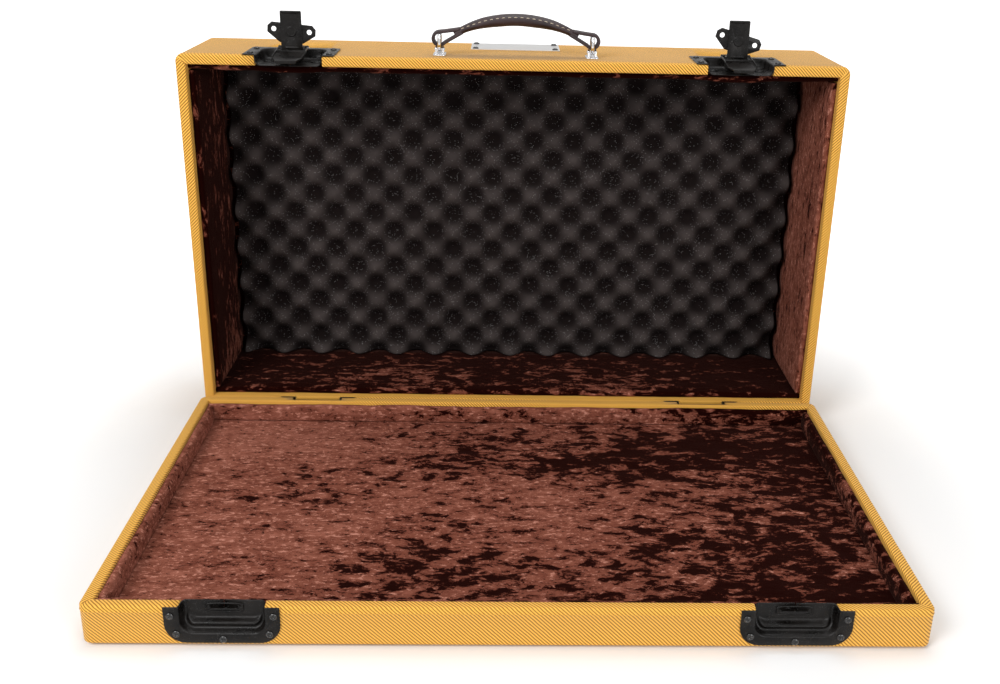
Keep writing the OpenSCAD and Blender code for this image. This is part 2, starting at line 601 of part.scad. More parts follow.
// Link: two arms on the link pin, a flanged web and the claw at its tip
module link(side) color(black) on_link(side) difference() {
  union() {
    for (x = [-link_w / 2, arm_in]) {
      strip(x, x + link_w / 2 - arm_in) circle(link_eye_r);
      translate([x, -arm_len - eps, -link_t / 2]) cube([link_w / 2 - arm_in, arm_len + eps, link_t]);
    }
    translate([0, 0, -link_t / 2]) linear_extrude(link_t) polygon([[-link_w / 2, -arm_len], [link_w / 2, -arm_len],
      [link_w / 2, -link_len + link_taper], [claw_w / 2, -link_len], [-claw_w / 2, -link_len],
      [-link_w / 2, -link_len + link_taper]]);
    for (x = [-link_w / 2, link_w / 2 - flange_t]) translate([x, -link_len + link_taper, 0])
      cube([flange_t, link_len - link_taper - flange_short, flange_h]);
    translate([-link_w / 2, -arm_len, 0]) cube([link_w, flange_t, flange_h]);
    translate([-claw_w / 2, -link_len, -claw_n]) cube([claw_w, claw_t, claw_n]);
  }
  across(link_w, latch_pin_r + pin_gap);
}
module left_link() link(-1);
module right_link() link(1);

// Hinge leaf on the lid's back, rolled round the pin at its lower edge
module hinge_leaf(side) color(black) on_back_lid(side) difference() {
  union() {
    linear_extrude(leaf_t) translate([0, leaf_h / 2]) rounded(leaf_w, leaf_h, tag_r);
    translate([-knuckle_w / 2, -hinge_drop - seam, 0]) cube([knuckle_w, hinge_drop + seam + tag_r, leaf_t]);
    translate([0, -hinge_drop - seam, -hinge_in]) across(knuckle_w / 2, knuckle_r);
  }
  translate([0, -hinge_drop - seam, -hinge_in]) across(knuckle_w, hinge_pin_r + pin_gap);
  holes_at(leaf_screw_at);
}
module left_hinge_leaf() hinge_leaf(-1);
module right_hinge_leaf() hinge_leaf(1);
module hinge_leaf_screws() color(black) for (s = [-1, 1]) on_back_lid(s)
  screws_at(leaf_screw_at, leaf_t);

// Bare plate on the lid's front
function name_screws() = [for (x = [-1, 1], y = [0, 1])
  [x * (name_w / 2 - name_screw_in), name_c + name_screw_in + y * (name_h - 2 * name_screw_in)]];
module nameplate() color("#b9bcc0") on_lid_face() difference() {
  linear_extrude(name_t) translate([0, name_c + name_h / 2]) rounded(name_w, name_h, tag_r / 2);
  holes_at(name_screws());
}
module nameplate_screws() color(black) on_lid_face() screws_at(name_screws(), name_t);

// Handle: brackets on the lid, wire bails on their pins, and a bowed leather grip
bracket_l = 30;
bracket_w = 15;
bracket_t = 1.5;
bracket_screw_in = 4.5;
ear_gap = 0.3;                 // between the bail's hub and each ear of its bracket
ear_half = 1;                  // half thickness of an ear
pin_stub = 0.8;                // the bail pin stands out of the ears by this
bail_hub_half = 3;
bail_hub_r = 3.2;
bail_foot_r = 8;               // bends of the bail wire
bail_top_r = 3.5;
bracket_screw_at = [for (y = [-1, 1]) [0, y * (bracket_l / 2 - bracket_screw_in)]];
module at_handle(side) on_lid_face() translate([side * handle_span / 2, handle_c, 0]) children();
module handle_brackets() color(chrome) for (s = [-1, 1]) at_handle(s) difference() {
  union() {
    linear_extrude(bracket_t) rounded(bracket_w, bracket_l, tag_r);
    for (x = [-1, 1]) translate([x * (bail_hub_half + ear_gap + ear_half), 0, 0]) strip(-ear_half, ear_half) {
      translate([0, bail_n]) circle(bail_hub_r);
      translate([-bail_hub_r, 0]) square([2 * bail_hub_r, bail_n]);
    }
  }
  translate([0, 0, bail_n]) across(bracket_w, latch_pin_r + seat_gap);
  holes_at(bracket_screw_at);
}
module handle_bracket_screws() color(chrome) for (s = [-1, 1]) at_handle(s)
  screws_at(bracket_screw_at, bracket_t, low_head_h);
module handle_pins() color(chrome) for (s = [-1, 1]) at_handle(s)
  translate([0, 0, bail_n]) across(bail_hub_half + ear_gap + 2 * ear_half + pin_stub, latch_pin_r);
// A quarter bend of wire in the y-z plane about a centre, from an angle
module bend(at, from, r) translate([0, at[0], at[1]]) rotate([90, 0, 90]) rotate(from)
  rotate_extrude(angle = 90) translate([r, 0]) circle(bail_r);
module handle_bails() color(chrome) for (s = [-1, 1]) at_handle(s) difference() {
  foot_y = bail_half - bail_foot_r;
  top_y = bail_half - bail_top_r;
  union() {
    translate([0, 0, bail_n]) across(bail_hub_half, bail_hub_r);
    translate([0, -foot_y, bail_n]) rotate([-90, 0, 0]) cylinder(h = 2 * foot_y, r = bail_r);
    translate([0, -top_y, bar_n]) rotate([-90, 0, 0]) cylinder(h = 2 * top_y, r = bail_r);
    for (y = [-1, 1]) translate([0, y * bail_half, bail_n + bail_foot_r])
      cylinder(h = bar_n - bail_top_r - bail_n - bail_foot_r, r = bail_r);
    bend([top_y, bar_n - bail_top_r], 0, bail_top_r);
    bend([-top_y, bar_n - bail_top_r], 90, bail_top_r);
    bend([-foot_y, bail_n + bail_foot_r], 180, bail_foot_r);
    bend([foot_y, bail_n + bail_foot_r], 270, bail_foot_r);
  }
  translate([0, 0, bail_n]) across(bail_hub_half + eps, latch_pin_r + pin_gap);
}
// The bow is an arc of a flattened round section, trimmed narrow at its ends
bow_n = handle_rise - grip_t / 2 - bow_r;
bow_in = 3;                    // the bow runs this far into its loops
bow_half = asin((handle_span / 2 - loop_r + bow_in) / bow_r);
grip_edge = 0.5;               // flat edge left on the grip's round sides
neck_from = 14;                // where the grip begins to narrow, from the loop's centre
neck_to = 30;
module handle_grip() color("#3b221b") on_lid_face() translate([0, handle_c, 0]) {
  e = handle_span / 2;
  lw = loop_w / 2;
  gw = grip_w / 2;
  intersection() {
    translate([0, 0, bow_n]) rotate([90, 0, 0]) rotate(90 - bow_half) rotate_extrude(angle = 2 * bow_half, $fn = 180)
      translate([bow_r, 0]) rotate(90) rounded(grip_w, grip_t, grip_t / 2 - grip_edge);
    linear_extrude(handle_rise + eps) polygon([
      [-e, lw], [neck_from - e, lw], [neck_to - e, gw], [e - neck_to, gw], [e - neck_from, lw], [e, lw],
      [e, -lw], [e - neck_from, -lw], [e - neck_to, -gw], [neck_to - e, -gw], [neck_from - e, -lw], [-e, -lw]]);
  }
  for (s = [-1, 1]) translate([s * e, 0, loop_n]) rotate([90, 0, 0]) difference() {
    cylinder(h = loop_w, r = loop_r, center = true);
    cylinder(h = loop_w + eps, r = loop_r - leather_t, center = true);
  }
}

base_frame();
base_bottom();
base_floor_pad();
base_pad_front();
base_pad_back();
base_pad_left();
base_pad_right();
left_keeper_dish();
right_keeper_dish();
keeper_screws();
feet();
foot_screws();
left_hinge_dish();
right_hinge_dish();
hinge_pins();
hinge_dish_screws();
lid_frame();
lid_panel();
lid_lining();
lid_foam();
lid_pad_front();
lid_pad_rear();
lid_pad_left();
lid_pad_right();
left_latch_dish();
right_latch_dish();
latch_screws();
latch_rivets();
left_pivot_block();
right_pivot_block();
left_hinge_leaf();
right_hinge_leaf();
hinge_leaf_screws();
nameplate();
nameplate_screws();
handle_brackets();
handle_bracket_screws();
handle_pins();
left_lever();
right_lever();
left_pivot_pin();
right_pivot_pin();
left_link_pin();
right_link_pin();
left_lock_rivet();
right_lock_rivet();
left_lock_plate();
right_lock_plate();
left_link();
right_link();
handle_grip();
handle_bails();
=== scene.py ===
# %% [markdown]
# # A tweed-covered pedal case, open on a pale floor
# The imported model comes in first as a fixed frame: every board, plate and pin
# already stands where it belongs, in metres. This script gives it its looks.
# It adds the cloth covering, the plush pads, the foam, the leather handle and
# the small pressed details, each as a surface worked out with numpy.

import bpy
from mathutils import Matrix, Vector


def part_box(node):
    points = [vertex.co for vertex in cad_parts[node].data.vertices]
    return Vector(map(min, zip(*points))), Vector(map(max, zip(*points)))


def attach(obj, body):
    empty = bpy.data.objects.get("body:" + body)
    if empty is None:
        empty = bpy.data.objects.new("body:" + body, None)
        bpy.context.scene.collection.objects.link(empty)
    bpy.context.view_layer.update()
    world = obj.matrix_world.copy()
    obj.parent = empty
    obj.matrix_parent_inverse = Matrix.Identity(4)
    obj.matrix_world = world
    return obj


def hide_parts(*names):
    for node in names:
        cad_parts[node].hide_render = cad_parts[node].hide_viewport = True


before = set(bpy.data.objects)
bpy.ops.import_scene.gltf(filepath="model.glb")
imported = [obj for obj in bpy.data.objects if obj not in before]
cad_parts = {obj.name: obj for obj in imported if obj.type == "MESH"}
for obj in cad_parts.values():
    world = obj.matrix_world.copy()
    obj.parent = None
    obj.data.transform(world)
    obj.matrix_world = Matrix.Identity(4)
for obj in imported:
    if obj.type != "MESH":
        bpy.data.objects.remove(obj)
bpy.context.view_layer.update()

import math

import bmesh
import bpy
import numpy as np
from mathutils import Matrix, Vector

# %% [markdown]
# ## Where things are
# All sizes below are millimetres, as on a workshop drawing, and become metres
# when a mesh is made. The case's main sizes are read back from the frame, so
# the covering and the pads follow the boards that they sit on. Four small
# functions carry a point from a local drawing plane into place: the front and
# back walls of the base, the front wall of the lid, and the lid as it lies shut.

# %% Main sizes and places
MM = 0.001


def box_mm(node):
    """The two corners of a CAD node in millimetres."""
    low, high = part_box(node)
    return np.array(low) / MM, np.array(high) / MM


def xyz(x, y, z):
    """Three sets of coordinates as one array of points."""
    return np.stack(np.broadcast_arrays(x, y, z), -1)


BASE_LOW, BASE_HIGH = box_mm("base_frame")
LID_LOW, LID_HIGH = box_mm("lid_frame")
HALF_W = BASE_HIGH[0]
HALF_D = (BASE_HIGH[1] - BASE_LOW[1]) / 2
MID_Y = (BASE_HIGH[1] + BASE_LOW[1]) / 2
LID_MID_Z = (LID_LOW[2] + LID_HIGH[2]) / 2
FRONT_Z = LID_HIGH[2]                      # the lid's front wall faces up while it is open
RIM_Y, BACK_Y = LID_LOW[1], LID_HIGH[1]    # the open lid's rim, and the board behind it
WALL = 12.0                                # thickness of the side walls
LATCH_X, HINGE_X = 268.0, 250.0            # from the middle to a latch and to a hinge
BOTH_SIDES = ((-1, "left"), (1, "right"))


def on_lid_face(p, side=0):
    """From across, up from the rim, and out of the lid's front wall."""
    return xyz(side * LATCH_X + p[..., 0], RIM_Y + p[..., 1], FRONT_Z + p[..., 2])


def on_keeper(p, side):
    """From across, up from the rim, and out of the base's front wall."""
    return xyz(side * LATCH_X + p[..., 0], BASE_LOW[1] - p[..., 2], BASE_HIGH[2] + p[..., 1])


def on_base_back(p, side):
    """From across, up from the rim, and out of the base's back wall."""
    return xyz(side * HINGE_X - p[..., 0], BASE_HIGH[1] + p[..., 2], BASE_HIGH[2] + p[..., 1])


def opened(p):
    """From the shut lid, measured from its rim's centre, to the open lid: a quarter turn back."""
    return xyz(p[..., 0], RIM_Y + p[..., 2], LID_MID_Z - p[..., 1])


print("case", 2 * HALF_W, "x", 2 * HALF_D, "mm, lid rim at y", RIM_Y, "lid back at", BACK_Y)

# %% [markdown]
# ## From arrays to meshes
# A surface is a grid of points: rows run along one parameter and columns along
# the other. `grid_faces` joins neighbours into quads, and wraps round where the
# surface closes on itself. `join_grids` gathers several closed surfaces, and
# `make_piece` writes points and faces into a mesh.

# %% Mesh helpers


def grid_faces(rows, cols, wrap_rows=False, wrap_cols=False, start=0):
    """Quads between a grid's neighbours, its last row or column joined to the first if it wraps."""
    r = np.arange(rows if wrap_rows else rows - 1)
    c = np.arange(cols if wrap_cols else cols - 1)
    r, c = np.meshgrid(r, c, indexing="ij")
    r2, c2 = (r + 1) % rows, (c + 1) % cols
    quads = np.stack([r * cols + c, r * cols + c2, r2 * cols + c2, r2 * cols + c], -1)
    return (quads.reshape(-1, 4) + start).tolist()


def join_grids(tubes, rings=()):
    """Points and faces of tubes, whose ends are filled, and rings, which close on themselves."""
    points, faces, start = [], [], 0
    for number, grid in enumerate([*tubes, *rings]):
        rows, cols = grid.shape[:2]
        is_ring = number >= len(tubes)
        faces += grid_faces(rows, cols, is_ring, True, start)
        if not is_ring:
            first, last = start + np.arange(cols), start + (rows - 1) * cols + np.arange(cols)
            faces += [first.tolist(), last[::-1].tolist()]
        points.append(grid.reshape(-1, 3))
        start += rows * cols
    return np.concatenate(points), faces


def outwards(mesh):
    """Turns a closed mesh's faces outwards."""
    work = bmesh.new()
    work.from_mesh(mesh)
    bmesh.ops.recalc_face_normals(work, faces=work.faces)
    work.to_mesh(mesh)
    work.free()


def in_scene(name, data):
    """A new object in the scene, at the origin."""
    thing = bpy.data.objects.new(name, data)
    bpy.context.scene.collection.objects.link(thing)
    return thing


def make_piece(name, points, faces, body, material, closed=True):
    """A smooth mesh object in place, riding on its body and finished with its material."""
    mesh = bpy.data.meshes.new(name)
    mesh.from_pydata((np.asarray(points).reshape(-1, 3) * MM).tolist(), [], faces)
    mesh.validate()
    mesh.polygons.foreach_set("use_smooth", [True] * len(mesh.polygons))
    if closed:
        outwards(mesh)
    piece = in_scene(name, mesh)
    mesh.materials.append(material)
    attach(piece, body)
    return piece


def make_tubes(name, tubes, place, body, material, rings=()):
    """A closed piece of tubes and rings, worked out in a local plane and carried into place."""
    points, faces = join_grids(tubes, rings)
    return make_piece(name, place(points), faces, body, material)


def applied(piece):
    """Replaces a piece's mesh with what its modifiers make of it."""
    bpy.context.view_layer.update()
    seen = piece.evaluated_get(bpy.context.evaluated_depsgraph_get())
    made = bpy.data.meshes.new_from_object(seen)
    piece.modifiers.clear()
    piece.data = made
    return piece


# %% Curves that the shapes share


def smooth_step(t):
    """From 0 to 1 with level ends, 3t^2 - 2t^3, and held beyond them."""
    t = np.clip(t, 0, 1)
    return t * t * (3 - 2 * t)


def full_turn(count):
    """Angles round a circle, as a row that meets a column of stations."""
    return np.linspace(0, 2 * np.pi, count, endpoint=False)[None, :]


def squared_off(wave, power):
    """A sine or cosine raised to a power with its sign kept: below 1, it squares a circle off."""
    return np.sign(wave) * np.abs(wave) ** power


def soft_noise(u, v, cell, seed):
    """Smooth random hills from -1 to 1: seeded values on a square lattice of the given cell,
    eased between neighbours by a smooth step."""
    lattice = np.random.default_rng(seed).uniform(-1, 1, (256, 256))
    u, v = np.asarray(u) / cell + 64, np.asarray(v) / cell + 64
    i, j = np.floor(u).astype(int), np.floor(v).astype(int)
    s, t = smooth_step(u - i), smooth_step(v - j)
    a, b = lattice[i % 256, j % 256], lattice[(i + 1) % 256, j % 256]
    c, d = lattice[i % 256, (j + 1) % 256], lattice[(i + 1) % 256, (j + 1) % 256]
    return (a * (1 - s) + b * s) * (1 - t) + (c * (1 - s) + d * s) * t


print("a smooth step halfway:", smooth_step(0.5))

# %% [markdown]
# ## Building materials from nodes
# `put` adds one shader node and fills its sockets, with a plain value or with
# another node's output. Effects that several finishes share, such as mottling,
# fine specks and fine grain, are node groups built once.

# %% Node helpers


def put(tree, kind, inputs=None, **settings):
    """One node in a tree; inputs go by name or number, and one given as a socket is linked."""
    node = tree.nodes.new(kind)
    for key, value in settings.items():
        setattr(node, key, value)
    for key, value in (inputs or {}).items():
        if isinstance(value, bpy.types.NodeSocket):
            tree.links.new(value, node.inputs[key])
        else:
            node.inputs[key].default_value = value
    return node


def ramp(tree, value, stops):
    """A colour ramp on a value; stops are (place, colour)."""
    node = put(tree, "ShaderNodeValToRGB", {"Fac": value})
    elements = node.color_ramp.elements
    while len(elements) < len(stops):
        elements.new(1.0)
    for element, (place, rgb) in zip(elements, stops):
        element.position, element.color = place, (*rgb, 1.0)
    return node.outputs["Color"]


def maths(tree, operation, *values):
    """One sum on values."""
    return put(tree, "ShaderNodeMath", dict(enumerate(values)), operation=operation).outputs[0]


def total(tree, start, *terms):
    """A start plus each term's value times its gain."""
    for value, gain in terms:
        start = maths(tree, "MULTIPLY_ADD", value, gain, start)
    return start


def mix(tree, share, a, b):
    """Mixes two colours by a share; a colour is a socket or (r, g, b)."""
    a, b = [(*c, 1.0) if isinstance(c, tuple) else c for c in (a, b)]
    return put(tree, "ShaderNodeMix", {0: share, 6: a, 7: b}, data_type="RGBA").outputs[2]


def noise(tree, vector, scale, detail=2.0, roughness=0.5, warp=0.0):
    """The value of a cloudy noise."""
    return put(tree, "ShaderNodeTexNoise", {
        "Vector": vector, "Scale": scale, "Detail": detail, "Roughness": roughness,
        "Distortion": warp}).outputs["Fac"]


def between(tree, value, low, high, ease="LINEAR"):
    """How far a value lies from low to high, as 0 to 1, and held beyond them."""
    return put(tree, "ShaderNodeMapRange", {"Value": value, "From Min": low, "From Max": high},
               interpolation_type=ease).outputs[0]


def stretched(tree, vector, scale):
    """A point with each coordinate multiplied."""
    return put(tree, "ShaderNodeMapping", {"Vector": vector, "Scale": scale}).outputs[0]


def object_point(tree):
    """Object coordinates, which stay with the piece."""
    return put(tree, "ShaderNodeTexCoord").outputs["Object"]


def new_group(name, output, **inputs):
    """An empty node group with named inputs, numbers or else vectors, and one value put out."""
    group = bpy.data.node_groups.new(name, "ShaderNodeTree")
    for label, value in inputs.items():
        kind = "NodeSocketFloat" if isinstance(value, float) else "NodeSocketVector"
        socket = group.interface.new_socket(name=label, in_out="INPUT", socket_type=kind)
        if value is not None:
            socket.default_value = value
    group.interface.new_socket(name=output, in_out="OUTPUT", socket_type="NodeSocketFloat")
    given, out = group.nodes.new("NodeGroupInput"), group.nodes.new("NodeGroupOutput")
    return group, given.outputs, out.inputs[output]


def use_group(tree, group, **inputs):
    """The value that a node group puts out for these inputs."""
    return put(tree, "ShaderNodeGroup", inputs, node_tree=group).outputs[0]


def new_finish(name, **constants):
    """A material with one Principled shader and its fixed values; an underscore is a space."""
    material = bpy.data.materials.new(name)
    material.use_nodes = True
    shader = material.node_tree.nodes["Principled BSDF"]
    for key, value in constants.items():
        shader.inputs[key.replace("_", " ")].default_value = value
    return material, material.node_tree, shader


def feed(tree, shader, height=None, distance=0.001, strength=1.0, **sockets):
    """Links varying colours and masks into the shader, and a height through a Bump node."""
    for key, value in sockets.items():
        tree.links.new(value, shader.inputs[key.replace("_", " ")])
    if height is not None:
        bump = put(tree, "ShaderNodeBump", {
            "Height": height, "Distance": distance, "Strength": strength})
        tree.links.new(bump.outputs["Normal"], shader.inputs["Normal"])


# %% [markdown]
# Three shared effects. *Mottle* is cloudy variation, for leather, foam, metal
# and worn cloth. *Specks* are small light grains scattered over a surface, as
# in powder coat and foam. *Grain* is a very fine random height.

# %% Shared effects


def build_mottle():
    """Cloudy mask: a noise, stretched by a vector, whose middle part is eased to 0..1."""
    group, given, out = new_group("mottle", "Mask", Vector=None, Stretch=(1, 1, 1),
                                  Scale=60.0, Warp=1.0, Low=0.35, High=0.65)
    placed = stretched(group, given["Vector"], given["Stretch"])
    coarse = noise(group, placed, given["Scale"], 3.0, 0.6, given["Warp"])
    group.links.new(between(group, coarse, given["Low"], given["High"], "SMOOTHSTEP"), out)
    return group


def build_specks():
    """Scattered grains: small round middles of the Voronoi cells whose random value is low."""
    group, given, out = new_group("specks", "Mask", Vector=None, Scale=800.0, Share=0.1, Size=0.25)
    cells = put(group, "ShaderNodeTexVoronoi", {"Vector": given["Vector"], "Scale": given["Scale"]})
    luck = put(group, "ShaderNodeSeparateColor", {0: cells.outputs["Color"]}).outputs[0]
    chosen = maths(group, "LESS_THAN", luck, given["Share"])
    near = maths(group, "LESS_THAN", cells.outputs["Distance"], given["Size"])
    group.links.new(maths(group, "MULTIPLY", chosen, near), out)
    return group


def build_grain():
    """Fine height: one noise at a high scale."""
    group, given, out = new_group("grain", "Height", Vector=None, Scale=900.0)
    group.links.new(noise(group, given["Vector"], given["Scale"], 4.0, 0.65), out)
    return group


MOTTLE, SPECKS, GRAIN = build_mottle(), build_specks(), build_grain()
print("shared effects:", MOTTLE.name, SPECKS.name, GRAIN.name)

# %% [markdown]
# ## Tweed
# The case is covered in lacquered cotton tweed: a twill of amber and straw
# threads with a thin dark brown thread every few millimetres, all running on
# the diagonal. The pattern is drawn on the covering's own UV map, which holds
# real millimetres along and across the cloth, so the stripes turn over the rims
# with it. Stripes come from a wave of the diagonal coordinate; a finer wave
# across it gives the threads.

# %% Tweed finish
STRIPE, THREAD_PITCH = 2.75, 0.9           # millimetres from one to the next, across them
DIAGONAL = 0.7071                          # distance across the stripes for one along the cloth


def tweed_finish():
    """Amber cloth: diagonal stripes with a thin dark line in each, thread ridges across them,
    broken up by noise."""
    material, tree, shader = new_finish(
        "tweed", Sheen_Weight=0.10, Sheen_Roughness=0.5, Specular_IOR_Level=0.22)
    uv = put(tree, "ShaderNodeUVMap", uv_map="cloth").outputs[0]
    parts = put(tree, "ShaderNodeSeparateXYZ", {0: uv}).outputs
    along = total(tree, parts[0], (noise(tree, uv, 0.09), 1.2))

    def ridges(operation, pitch):
        """A wave from 0 to 1 over one diagonal of the cloth."""
        slant = maths(tree, operation, parts[1], along)
        turn = maths(tree, "MULTIPLY", slant, 2 * math.pi * DIAGONAL / pitch)
        return total(tree, 0.5, (maths(tree, "SINE", turn), 0.5))
    stripe, thread = ridges("ADD", STRIPE), ridges("SUBTRACT", THREAD_PITCH)
    fleck = noise(tree, uv, 0.9, 3.0, 0.7)
    shade = total(tree, 0.0, (stripe, 0.80), (fleck, 0.32), (thread, -0.10))
    yarn = ramp(tree, shade, [(0.08, (0.16, 0.055, 0.006)), (0.26, (0.43, 0.175, 0.012)),
                              (0.42, (0.76, 0.365, 0.036)), (0.85, (0.96, 0.545, 0.105))])
    cloud = use_group(tree, MOTTLE, Vector=object_point(tree), Scale=9.0, Warp=0.4,
                      Low=0.3, High=0.7)
    tone = mix(tree, maths(tree, "MULTIPLY", cloud, 0.14), yarn, (0.55, 0.29, 0.06))
    feed(tree, shader, height=total(tree, 0.0, (stripe, 0.6), (thread, 0.4)), distance=0.0003,
         strength=0.5, Base_Color=tone, Roughness=total(tree, 0.55, (fleck, 0.25)))
    return material


TWEED = tweed_finish()
print("tweed stripes every", STRIPE, "mm")

# %% [markdown]
# ## The covering
# The real boards are wrapped in one glued cloth, so every edge is slightly
# round and the corners are mitred. Each shell's covering is one closed surface:
# an outline of the wall, from inside over the rim to outside, carried round the
# rounded rectangle of the case, with its two ends filled. The pockets for the
# latches and hinges are then cut with a Boolean, as a router would.

# %% Outline round the case
ARC_STEPS, SIDE_STEPS = 4, 24
AROUND = 4 * (2 * ARC_STEPS + SIDE_STEPS)
CORNER = 9.0                               # radius of the case's upright edges
QUARTERS = [(1, 0), (0, 1), (-1, 0), (0, -1)]    # cosine and sine of the four quarter turns
SIDE_SHIFT = 37.0                          # moves the stripes on at each mitre
CUT_FROM = 4.0                             # a cutter starts this far outside the wall


def round_loop(half_x, half_y, radius):
    """Points round a rounded rectangle, anticlockwise from the front-left mitre: each side is
    half a corner arc, a straight and half a corner arc."""
    sides = []
    for turn, (c, s) in enumerate(QUARTERS):
        hx, hy = (half_x, half_y) if turn % 2 == 0 else (half_y, half_x)
        a = np.radians(np.linspace(225, 270, ARC_STEPS + 1))
        arc_x, arc_y = radius - hx + radius * np.cos(a), radius - hy + radius * np.sin(a)
        straight = np.linspace(radius - hx, hx - radius, SIDE_STEPS + 1)[1:-1]
        x = np.concatenate([arc_x, straight, -arc_x[::-1]])
        y = np.concatenate([arc_y, np.full(straight.size, -hy), arc_y[::-1]])
        sides.append(np.stack([x * c - y * s, x * s + y * c], -1)[:-1])
    return np.concatenate(sides)


def wall_outline(low_in, rim, low_out, edge_in, edge_out, edge_low, hem):
    """The wall's outline as (inset, height): up the inside, over the rim's two round edges,
    down the outside past the hem's low ridge, and round the lower edge."""
    def arc(cx, cz, r, start):
        t = np.radians(np.linspace(start, start + 90, 5))
        return np.stack([cx + r * np.cos(t), cz + r * np.sin(t)], -1)
    inside = [[WALL, low_in], [WALL, rim - edge_in]]
    over_in = arc(WALL - edge_in, rim - edge_in, edge_in, 0)[1:]
    over_out = arc(edge_out, rim - edge_out, edge_out, 90)
    lower = arc(edge_low, low_out + edge_low, edge_low, 180)
    return np.concatenate([inside, over_in, over_out, hem, lower])


def covering(name, outline, place, body, lean):
    """The outline carried round the case with its ends filled; the UV map holds millimetres
    along each side and, times lean, down the outline."""
    steps = np.linalg.norm(np.diff(outline, axis=0), axis=1)
    down = np.concatenate([[0], np.cumsum(steps)])
    rows = np.stack([np.column_stack([
        round_loop(HALF_W - inset, HALF_D - inset, max(CORNER - inset, 0.4)),
        np.full(AROUND, height)]) for inset, height in outline])
    piece = make_tubes(name, [rows], place, body, TWEED)
    local, uv = rows.reshape(-1, 3), []
    for polygon in piece.data.polygons:
        ids = np.array(polygon.vertices)
        if len(ids) > 4:
            uv.append(local[ids, :2])
            continue
        column = ids % AROUND
        first = column.max() if np.ptp(column) > 1 else column.min()
        side = first // (AROUND // 4)
        along = local[ids, side % 2] * (1 if side < 2 else -1)
        uv.append(np.stack([along + SIDE_SHIFT * side, lean * down[ids // AROUND]], -1))
    piece.data.uv_layers.new(name="cloth").data.foreach_set("uv", np.concatenate(uv).ravel())
    return piece


def hanging_outline(width, drop, radius, over=3.0, steps=7):
    """A pocket's outline in the wall's plane: it runs past the rim, and its two lower corners
    are round."""
    half = width / 2
    t = np.radians(np.linspace(180, 270, steps))
    left = np.stack([radius - half + radius * np.cos(t), radius - drop + radius * np.sin(t)], -1)
    return np.concatenate([[[-half, over]], left, left[::-1] * [-1, 1], [[half, over]]])


def carve(piece, outline, depth, place):
    """Cuts an outline out of the piece on both sides of the case, from outside to a depth."""
    for sign, _ in BOTH_SIDES:
        ends = [np.column_stack([outline, np.full(len(outline), n)]) for n in (-depth, CUT_FROM)]
        points, faces = join_grids([place(np.stack(ends), sign)])
        mesh = bpy.data.meshes.new("cutter")
        mesh.from_pydata((points * MM).tolist(), [], faces)
        outwards(mesh)
        tool = in_scene("cutter", mesh)
        cut = piece.modifiers.new("pocket", "BOOLEAN")
        cut.operation, cut.object, cut.solver = "DIFFERENCE", tool, "EXACT"
        applied(piece)
        bpy.data.objects.remove(tool)


POCKET_W, POCKET_R, POCKET_DEPTH = 79.4, 12.0, 14.0    # a pressed dish's hole in the board

# %% Base covering
FLOOR_IN = box_mm("base_bottom")[1][2]
base_outline = wall_outline(
    FLOOR_IN, BASE_HIGH[2], BASE_LOW[2], 2.2, 2.6, 2.6,
    [[0.0, 39.2], [-0.45, 38.9], [-0.45, 38.5], [0.0, 38.0]])
base_cover = covering("base_cover", base_outline, lambda p: p + [0, MID_Y, 0], "base", -1)
carve(base_cover, hanging_outline(POCKET_W, 29.2, POCKET_R), POCKET_DEPTH, on_keeper)
carve(base_cover, hanging_outline(63.0, 21.5, 0.3, steps=2), 8.7, on_base_back)
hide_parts("base_frame", "base_bottom")
print("base covering:", len(base_cover.data.polygons), "faces")

# %% Lid covering
LID_TALL = BACK_Y - RIM_Y
lid_outline = wall_outline(
    5.0 - LID_TALL, 0.0, -LID_TALL, 2.2, 2.6, 3.5,
    [[0.0, -7.0], [-0.4, -7.3], [-0.4, -7.8], [0.0, -8.2]])
lid_cover = covering("lid_cover", lid_outline, lambda p: opened(p * [1, 1, -1]), "lid", 1)
carve(lid_cover, hanging_outline(POCKET_W, 54.2, POCKET_R) * [1, -1], POCKET_DEPTH, on_lid_face)
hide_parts("lid_frame", "lid_panel")
print("lid covering:", len(lid_cover.data.polygons), "faces")

# %% [markdown]
# ## Crushed plush
# The lining is crushed velvet on thin padding. The pile lies in patches in
# different directions, which read as rose and near-black maroon islands 5 to
# 20 mm across. A stretched, warped noise gives the islands, and a low sheen the
# soft light along their edges. The same finish runs lengthwise on the floors
# and most walls, and upright on the lid's side walls.

# %% Plush finish


